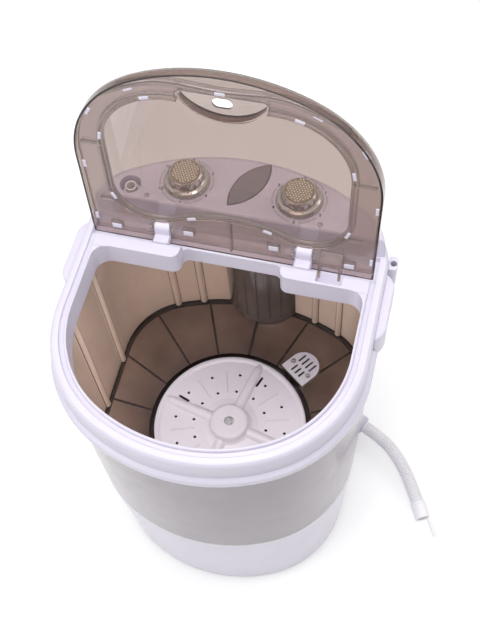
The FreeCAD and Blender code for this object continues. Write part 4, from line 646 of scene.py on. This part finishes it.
def printed_number(bm, text, centre, height, thickness):
    """Number in plain type, upright to a user at the front, added to a bmesh."""
    data = bpy.data.curves.new("dial_number", "FONT")
    data.body = text
    data.size = height
    data.align_x = "CENTER"
    data.align_y = "CENTER"
    data.extrude = thickness / 2
    data.offset = NUMBER_BOLDNESS * height
    holder = bpy.data.objects.new("dial_number", data)
    bpy.context.scene.collection.objects.link(holder)
    made = bpy.data.meshes.new_from_object(holder)
    made.transform(Matrix.Translation(centre + Vector((0, 0, thickness / 2))))
    bm.from_mesh(made)
    bpy.data.objects.remove(holder)
    bpy.data.curves.remove(data)
    bpy.data.meshes.remove(made)


def clock_sign(bm, centre, radius, thickness):
    """Small clock face: a ring and two hands."""
    half_line = radius * CLOCK_HALF_LINE
    outer = bmesh.ops.create_circle(bm, segments=CLOCK_SIDES, radius=radius)["verts"]
    edges = [edge for edge in bm.edges if edge.verts[0] in outer and edge.verts[1] in outer]
    added = bmesh.ops.extrude_edge_only(bm, edges=edges)["geom"]
    inner = [item for item in added if isinstance(item, bmesh.types.BMVert)]
    share = 1.0 - 2.0 * half_line / radius
    bmesh.ops.scale(bm, verts=inner, vec=(share, share, 1.0))
    verts = list(outer) + inner
    for angle, reach in CLOCK_HANDS:
        hand = bmesh.ops.create_grid(bm, x_segments=1, y_segments=1, size=0.5)["verts"]
        bmesh.ops.scale(bm, verts=hand, vec=(radius * reach, HAND_WIDTH * half_line, 1.0))
        bmesh.ops.translate(bm, verts=hand, vec=(radius * reach / 2, 0, 0))
        bmesh.ops.rotate(bm, verts=hand, matrix=Matrix.Rotation(math.radians(angle), 3, "Z"))
        verts += hand
    bmesh.ops.translate(bm, verts=verts, vec=centre + Vector((0, 0, thickness)))


class WASHER_OT_dials(Operator):
    """Prints the dial marks round both knobs"""

    bl_idname = "washer.dials"
    bl_label = "Dial marks"

    def execute(self, context):
        size = sizes()
        ink = moulded("dial_ink", colours().ink, roughness=0.5, spread=0.1)
        for name, joint, step, sign_at in DIALS:
            axis = JOINT_PLACES[joint].copy()
            axis.z = PANEL_TOP
            bm = bmesh.new()
            for index in range(DIAL_NUMBERS):
                start = DIAL_FIRST_ANGLE - DIAL_NUMBER_ANGLE * index
                text = str(index * step)
                printed_number(bm, text, self.spot(axis, start), size.number_height, size.print_height)
                if index < DIAL_NUMBERS - 1:
                    self.dots(bm, axis, start)
            clock_sign(bm, axis + Vector((*sign_at, 0)), CLOCK_RADIUS, size.print_height)
            piece(name, mesh_of(name, bm, smooth=False), ink, "cabinet")
        return {"FINISHED"}

    def spot(self, axis, degrees):
        """Place on the dial's circle at an angle."""
        angle = math.radians(degrees)
        return axis + sizes().dial_radius * Vector((math.cos(angle), math.sin(angle), 0))

    def dots(self, bm, axis, start):
        """Dots from one number to the next; the places beside the numbers stay free."""
        size = sizes()
        spacing = DIAL_NUMBER_ANGLE / (size.dots_between + 1)
        for place in range(2, size.dots_between):
            dial_dot(bm, self.spot(axis, start - place * spacing), size.dot_radius, size.print_height)


class WASHER_OT_knobs(Operator):
    """Finishes the silvered knobs and sets a dotted face into each"""

    bl_idname = "washer.knobs"
    bl_label = "Knobs"

    def execute(self, context):
        tint = colours()
        size = sizes()
        silver = silvered("silvered_knob_plastic", tint.knob)
        foil = moulded("knob_foil", tint.knob_face, roughness=0.3, spread=0.12, coat=0.5)
        bead = moulded("knob_beads", tint.knob_bead, roughness=0.22, coat=0.4)
        for node, joint, body in KNOBS:
            finish_node(node, silver)
            axis = JOINT_PLACES[joint].copy()
            axis.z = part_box(node)[1].z
            self.face(node + "_face", axis, size, foil, body)
            self.beads(node + "_beads", axis, size, bead, body)
        return {"FINISHED"}

    def face(self, name, axis, size, material, body):
        """Thin domed disc."""
        bm = bmesh.new()
        verts = [bm.verts.new((share * size.face_radius, 0, rise)) for share, rise in FACE_PROFILE]
        edges = [bm.edges.new(pair) for pair in zip(verts, verts[1:])]
        bmesh.ops.spin(
            bm, geom=verts + edges, cent=(0, 0, 0), axis=(0, 0, 1), angle=math.tau, steps=FACE_STEPS,
            use_merge=True)
        bmesh.ops.translate(bm, verts=bm.verts, vec=axis)
        piece(name, mesh_of(name, bm), material, body)

    def beads(self, name, axis, size, material, body):
        """Raised dots in a honeycomb layout on the face."""
        bm = bmesh.new()
        rows = int(size.face_radius / (size.face_pitch * ROW_SHARE)) + 1
        for row in range(-rows, rows + 1):
            for column in range(-rows - 1, rows + 2):
                x = (column + 0.5 * (row % 2)) * size.face_pitch
                y = row * size.face_pitch * ROW_SHARE
                reach = math.hypot(x, y)
                if reach > size.face_radius * DOTS_REACH:
                    continue
                dome = FACE_RISE - FACE_FALL * (reach / size.face_radius) ** 2
                made = bmesh.ops.create_icosphere(bm, subdivisions=1, radius=size.face_dot)["verts"]
                bmesh.ops.scale(bm, verts=made, vec=(1.0, 1.0, DOT_FLATNESS))
                bmesh.ops.translate(bm, verts=made, vec=axis + Vector((x, y, dome)))
        piece(name, mesh_of(name, bm), material, body)


class WASHER_OT_inlay(Operator):
    """Finishes the dark leaf on the panel"""

    bl_idname = "washer.inlay"
    bl_label = "Panel inlay"

    def execute(self, context):
        tint = colours()
        material, shading, bsdf = new_material("inlay_plastic")
        outputs = grained(shading, bsdf, tint.inlay, spread=0.08, roughness=0.16, grain=FINE_GRAIN, bump=0.02)
        border = near_edges(shading, radius=0.0026)
        bordered = shading.mix(border, outputs["Colour"], rgba(tint.inlay_border))
        shading.feed(bsdf.inputs["Base Color"], bordered)
        bsdf.inputs["Coat Weight"].default_value = 0.6
        finish_node("panel_inlay", material)
        return {"FINISHED"}


def route_points(points):
    """Points along the smooth line of a route, read from its spline."""
    data = bpy.data.curves.new("hose_route", "CURVE")
    data.dimensions = "3D"
    data.resolution_u = 48
    spline = data.splines.new("NURBS")
    spline.points.add(len(points) - 1)
    for point, place in zip(spline.points, points):
        point.co = (*place, 1.0)
    spline.order_u = 3
    spline.use_endpoint_u = True
    holder = bpy.data.objects.new("hose_route", data)
    bpy.context.scene.collection.objects.link(holder)
    line = bpy.data.meshes.new_from_object(holder)
    found = [vertex.co.copy() for vertex in line.vertices]
    bpy.data.objects.remove(holder)
    bpy.data.curves.remove(data)
    bpy.data.meshes.remove(line)
    return found


def along(points, distance):
    """Point and heading at a length along a line of points."""
    left = distance
    for start, end in zip(points, points[1:]):
        step = (end - start).length
        if left <= step or end is points[-1]:
            return start.lerp(end, min(1.0, left / step)), (end - start).normalized()
        left -= step


def line_length(points):
    return sum((end - start).length for start, end in zip(points, points[1:]))


def ring(bm, groove, centre, heading, radius, depth):
    """Circle square to a heading, marked with its groove depth; returns its edges."""
    side = Vector((0, 0, 1)).cross(heading).normalized()
    turn = Matrix((side, heading.cross(side), heading)).transposed()
    made = bmesh.ops.create_circle(bm, segments=HOSE_SIDES, radius=radius)["verts"]
    bmesh.ops.rotate(bm, verts=made, matrix=turn)
    bmesh.ops.translate(bm, verts=made, vec=centre)
    for vert in made:
        vert[groove] = depth
    return list({edge for vert in made for edge in vert.link_edges})


class WASHER_OT_hose(Operator):
    """Makes the ribbed drain hose and finishes its cuff"""

    bl_idname = "washer.hose"
    bl_label = "Drain hose"

    def execute(self, context):
        size = sizes()
        tint = colours()
        plastic = hose_plastic("ribbed_hose_plastic", tint.hose, tint.hose_groove_shade)
        line = route_points([Vector(point) for point in HOSE_ROUTE])
        length = line_length(line)
        ribs = round(length / size.hose_pitch)
        pitch = length / ribs
        root, crest = size.hose_root, size.hose_crest
        shoulder = 0.35 * root + 0.65 * crest
        rib = ((0.0, root), (0.22, root), (0.34, shoulder), (0.46, crest), (0.76, crest), (0.88, shoulder))
        bm = bmesh.new()
        groove = bm.verts.layers.float.new("groove")
        rings = []
        for index in range(ribs):
            for share, radius in rib:
                # The groove depth, 0 on the crests and 1 at the root, sets the painted shade between the
                # ribs.
                depth = (crest - radius) / (crest - root)
                rings.append(ring(bm, groove, *along(line, (index + share) * pitch), radius, depth))
        rings.append(ring(bm, groove, *along(line, length), root, 1.0))
        for share in BORE_RINGS:
            rings.append(ring(bm, groove, *along(line, share * length), size.hose_bore, 1.0))
        for first, second in zip(rings, rings[1:] + rings[:1]):
            bmesh.ops.bridge_loops(bm, edges=first + second)
        mesh_data = mesh_of("ribbed_drain_hose", bm)
        hose = piece("ribbed_drain_hose", mesh_data, plastic, "cabinet")
        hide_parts("drain_hose")
        finish_node("hose_cuff", moulded("cuff_plastic", tint.hose, roughness=0.4, coat=0.1))
        return {"FINISHED"}


def lamp(name, place, side, power):
    """Square lamp that looks at the part."""
    data = bpy.data.lights.new(name, "AREA")
    data.size = side
    data.energy = power
    made = bpy.data.objects.new(name, data)
    made.location = place
    made.rotation_euler = (Vector(LAMP_TARGET) - Vector(place)).to_track_quat("-Z", "Y").to_euler()
    bpy.context.scene.collection.objects.link(made)


def seen_rays(shading):
    """Mask of the rays that look at the background."""
    path = shading.node("ShaderNodeLightPath").outputs
    seen = shading.math("MAXIMUM", path["Is Camera Ray"], path["Is Glossy Ray"])
    return shading.math("MAXIMUM", seen, path["Is Transmission Ray"])


class WASHER_OT_stage(Operator):
    """Sets the floor, the studio light and the camera"""

    bl_idname = "washer.stage"
    bl_label = "Stage"

    def execute(self, context):
        scene = context.scene
        light = scene.washer_light
        scene.view_settings.view_transform = "Standard"
        self.floor()
        self.world(scene, light)
        lamp("key_lamp", place=(-1.3, -1.1, 1.9), side=1.4, power=light.key)
        lamp("rim_lamp", place=(1.5, 0.9, 1.6), side=1.0, power=light.rim)
        lamp("top_lamp", place=(0.0, -0.15, 2.2), side=0.9, power=light.top)
        self.camera(scene)
        return {"FINISHED"}

    def floor(self):
        bm = bmesh.new()
        bmesh.ops.create_grid(bm, x_segments=1, y_segments=1, size=FLOOR_HALF_SIDE)
        made = bpy.data.objects.new("floor", mesh_of("floor", bm))
        bpy.context.scene.collection.objects.link(made)
        material, shading, bsdf = new_material("floor_paper")
        paper = colours().floor
        outputs = grained(shading, bsdf, paper, spread=0.01, roughness=0.8, grain=300.0, bump=0.02)
        shading.feed(bsdf.inputs["Emission Color"], outputs["Colour"])
        glow = shading.math("MULTIPLY", seen_rays(shading), FLOOR_GLOW)
        shading.feed(bsdf.inputs["Emission Strength"], glow)
        made.data.materials.append(material)

    def world(self, scene, light):
        world = bpy.data.worlds.new("studio")
        scene.world = world
        world.use_nodes = True
        shading = Shading(world.node_tree)
        background = world.node_tree.nodes["Background"]
        background.inputs["Color"].default_value = (1.0, 1.0, 1.0, 1.0)
        way = shading.node("ShaderNodeTexCoord").outputs["Generated"]
        height = shading.node("ShaderNodeSeparateXYZ", {0: way}).outputs["Z"]
        overhead = shading.remap(height, 0.0, OVERHEAD_LIGHT - light.world)
        raised = shading.math("MULTIPLY", seen_rays(shading), overhead)
        camera_rays = shading.node("ShaderNodeLightPath").outputs["Is Camera Ray"]
        backdrop = shading.math("MULTIPLY", camera_rays, 1.0 - light.world)
        bright = shading.math("MAXIMUM", raised, backdrop)
        shading.feed(background.inputs["Strength"], shading.math("ADD", bright, light.world))

    def camera(self, scene):
        azimuth = math.radians(CAMERA_AZIMUTH)
        elevation = math.radians(CAMERA_ELEVATION)
        roll = math.radians(CAMERA_ROLL)
        level_ahead = Vector((-math.sin(azimuth), math.cos(azimuth), 0.0)) * math.cos(elevation)
        ahead = level_ahead - Vector((0.0, 0.0, math.sin(elevation)))
        level = Vector((math.cos(azimuth), math.sin(azimuth), 0.0))
        above = level.cross(ahead)
        right = level * math.cos(roll) + above * math.sin(roll)
        up = above * math.cos(roll) - level * math.sin(roll)
        data = bpy.data.cameras.new("camera")
        data.lens = CAMERA_LENS
        data.sensor_width = CAMERA_SENSOR
        made = bpy.data.objects.new("camera", data)
        turn = Matrix((right, up, -ahead)).transposed().to_4x4()
        made.matrix_world = Matrix.Translation(CAMERA_PLACE) @ turn
        scene.collection.objects.link(made)
        scene.camera = made


class WASHER_PT_finish(Panel):
    """Lists the finishing steps and their values"""

    bl_idname = "WASHER_PT_finish"
    bl_label = "Washing Machine"
    bl_space_type = "VIEW_3D"
    bl_region_type = "UI"
    bl_category = "Washer"

    def draw(self, context):
        for step in STEPS:
            self.layout.operator(step.bl_idname)
        for group in (context.scene.washer_colours, context.scene.washer_sizes, context.scene.washer_light):
            box = self.layout.box()
            for name in group.__annotations__:
                box.prop(group, name)


STEPS = (
    WASHER_OT_stage, WASHER_OT_hose, WASHER_OT_cabinet, WASHER_OT_lid, WASHER_OT_wash_parts,
    WASHER_OT_drive, WASHER_OT_dials, WASHER_OT_knobs, WASHER_OT_inlay)
CLASSES = (WasherColours, WasherSizes, WasherLight, *STEPS, WASHER_PT_finish)


def register():
    for kind in CLASSES:
        bpy.utils.register_class(kind)
    bpy.types.Scene.washer_colours = PointerProperty(type=WasherColours)
    bpy.types.Scene.washer_sizes = PointerProperty(type=WasherSizes)
    bpy.types.Scene.washer_light = PointerProperty(type=WasherLight)


def unregister():
    del bpy.types.Scene.washer_light
    del bpy.types.Scene.washer_sizes
    del bpy.types.Scene.washer_colours
    for kind in reversed(CLASSES):
        bpy.utils.unregister_class(kind)


def main():
    register()
    bpy.ops.washer.stage()
    bpy.ops.washer.hose()
    bpy.ops.washer.cabinet()
    bpy.ops.washer.lid()
    bpy.ops.washer.wash_parts()
    bpy.ops.washer.drive()
    bpy.ops.washer.dials()
    bpy.ops.washer.knobs()
    bpy.ops.washer.inlay()


if __name__ == "__main__":
    main()
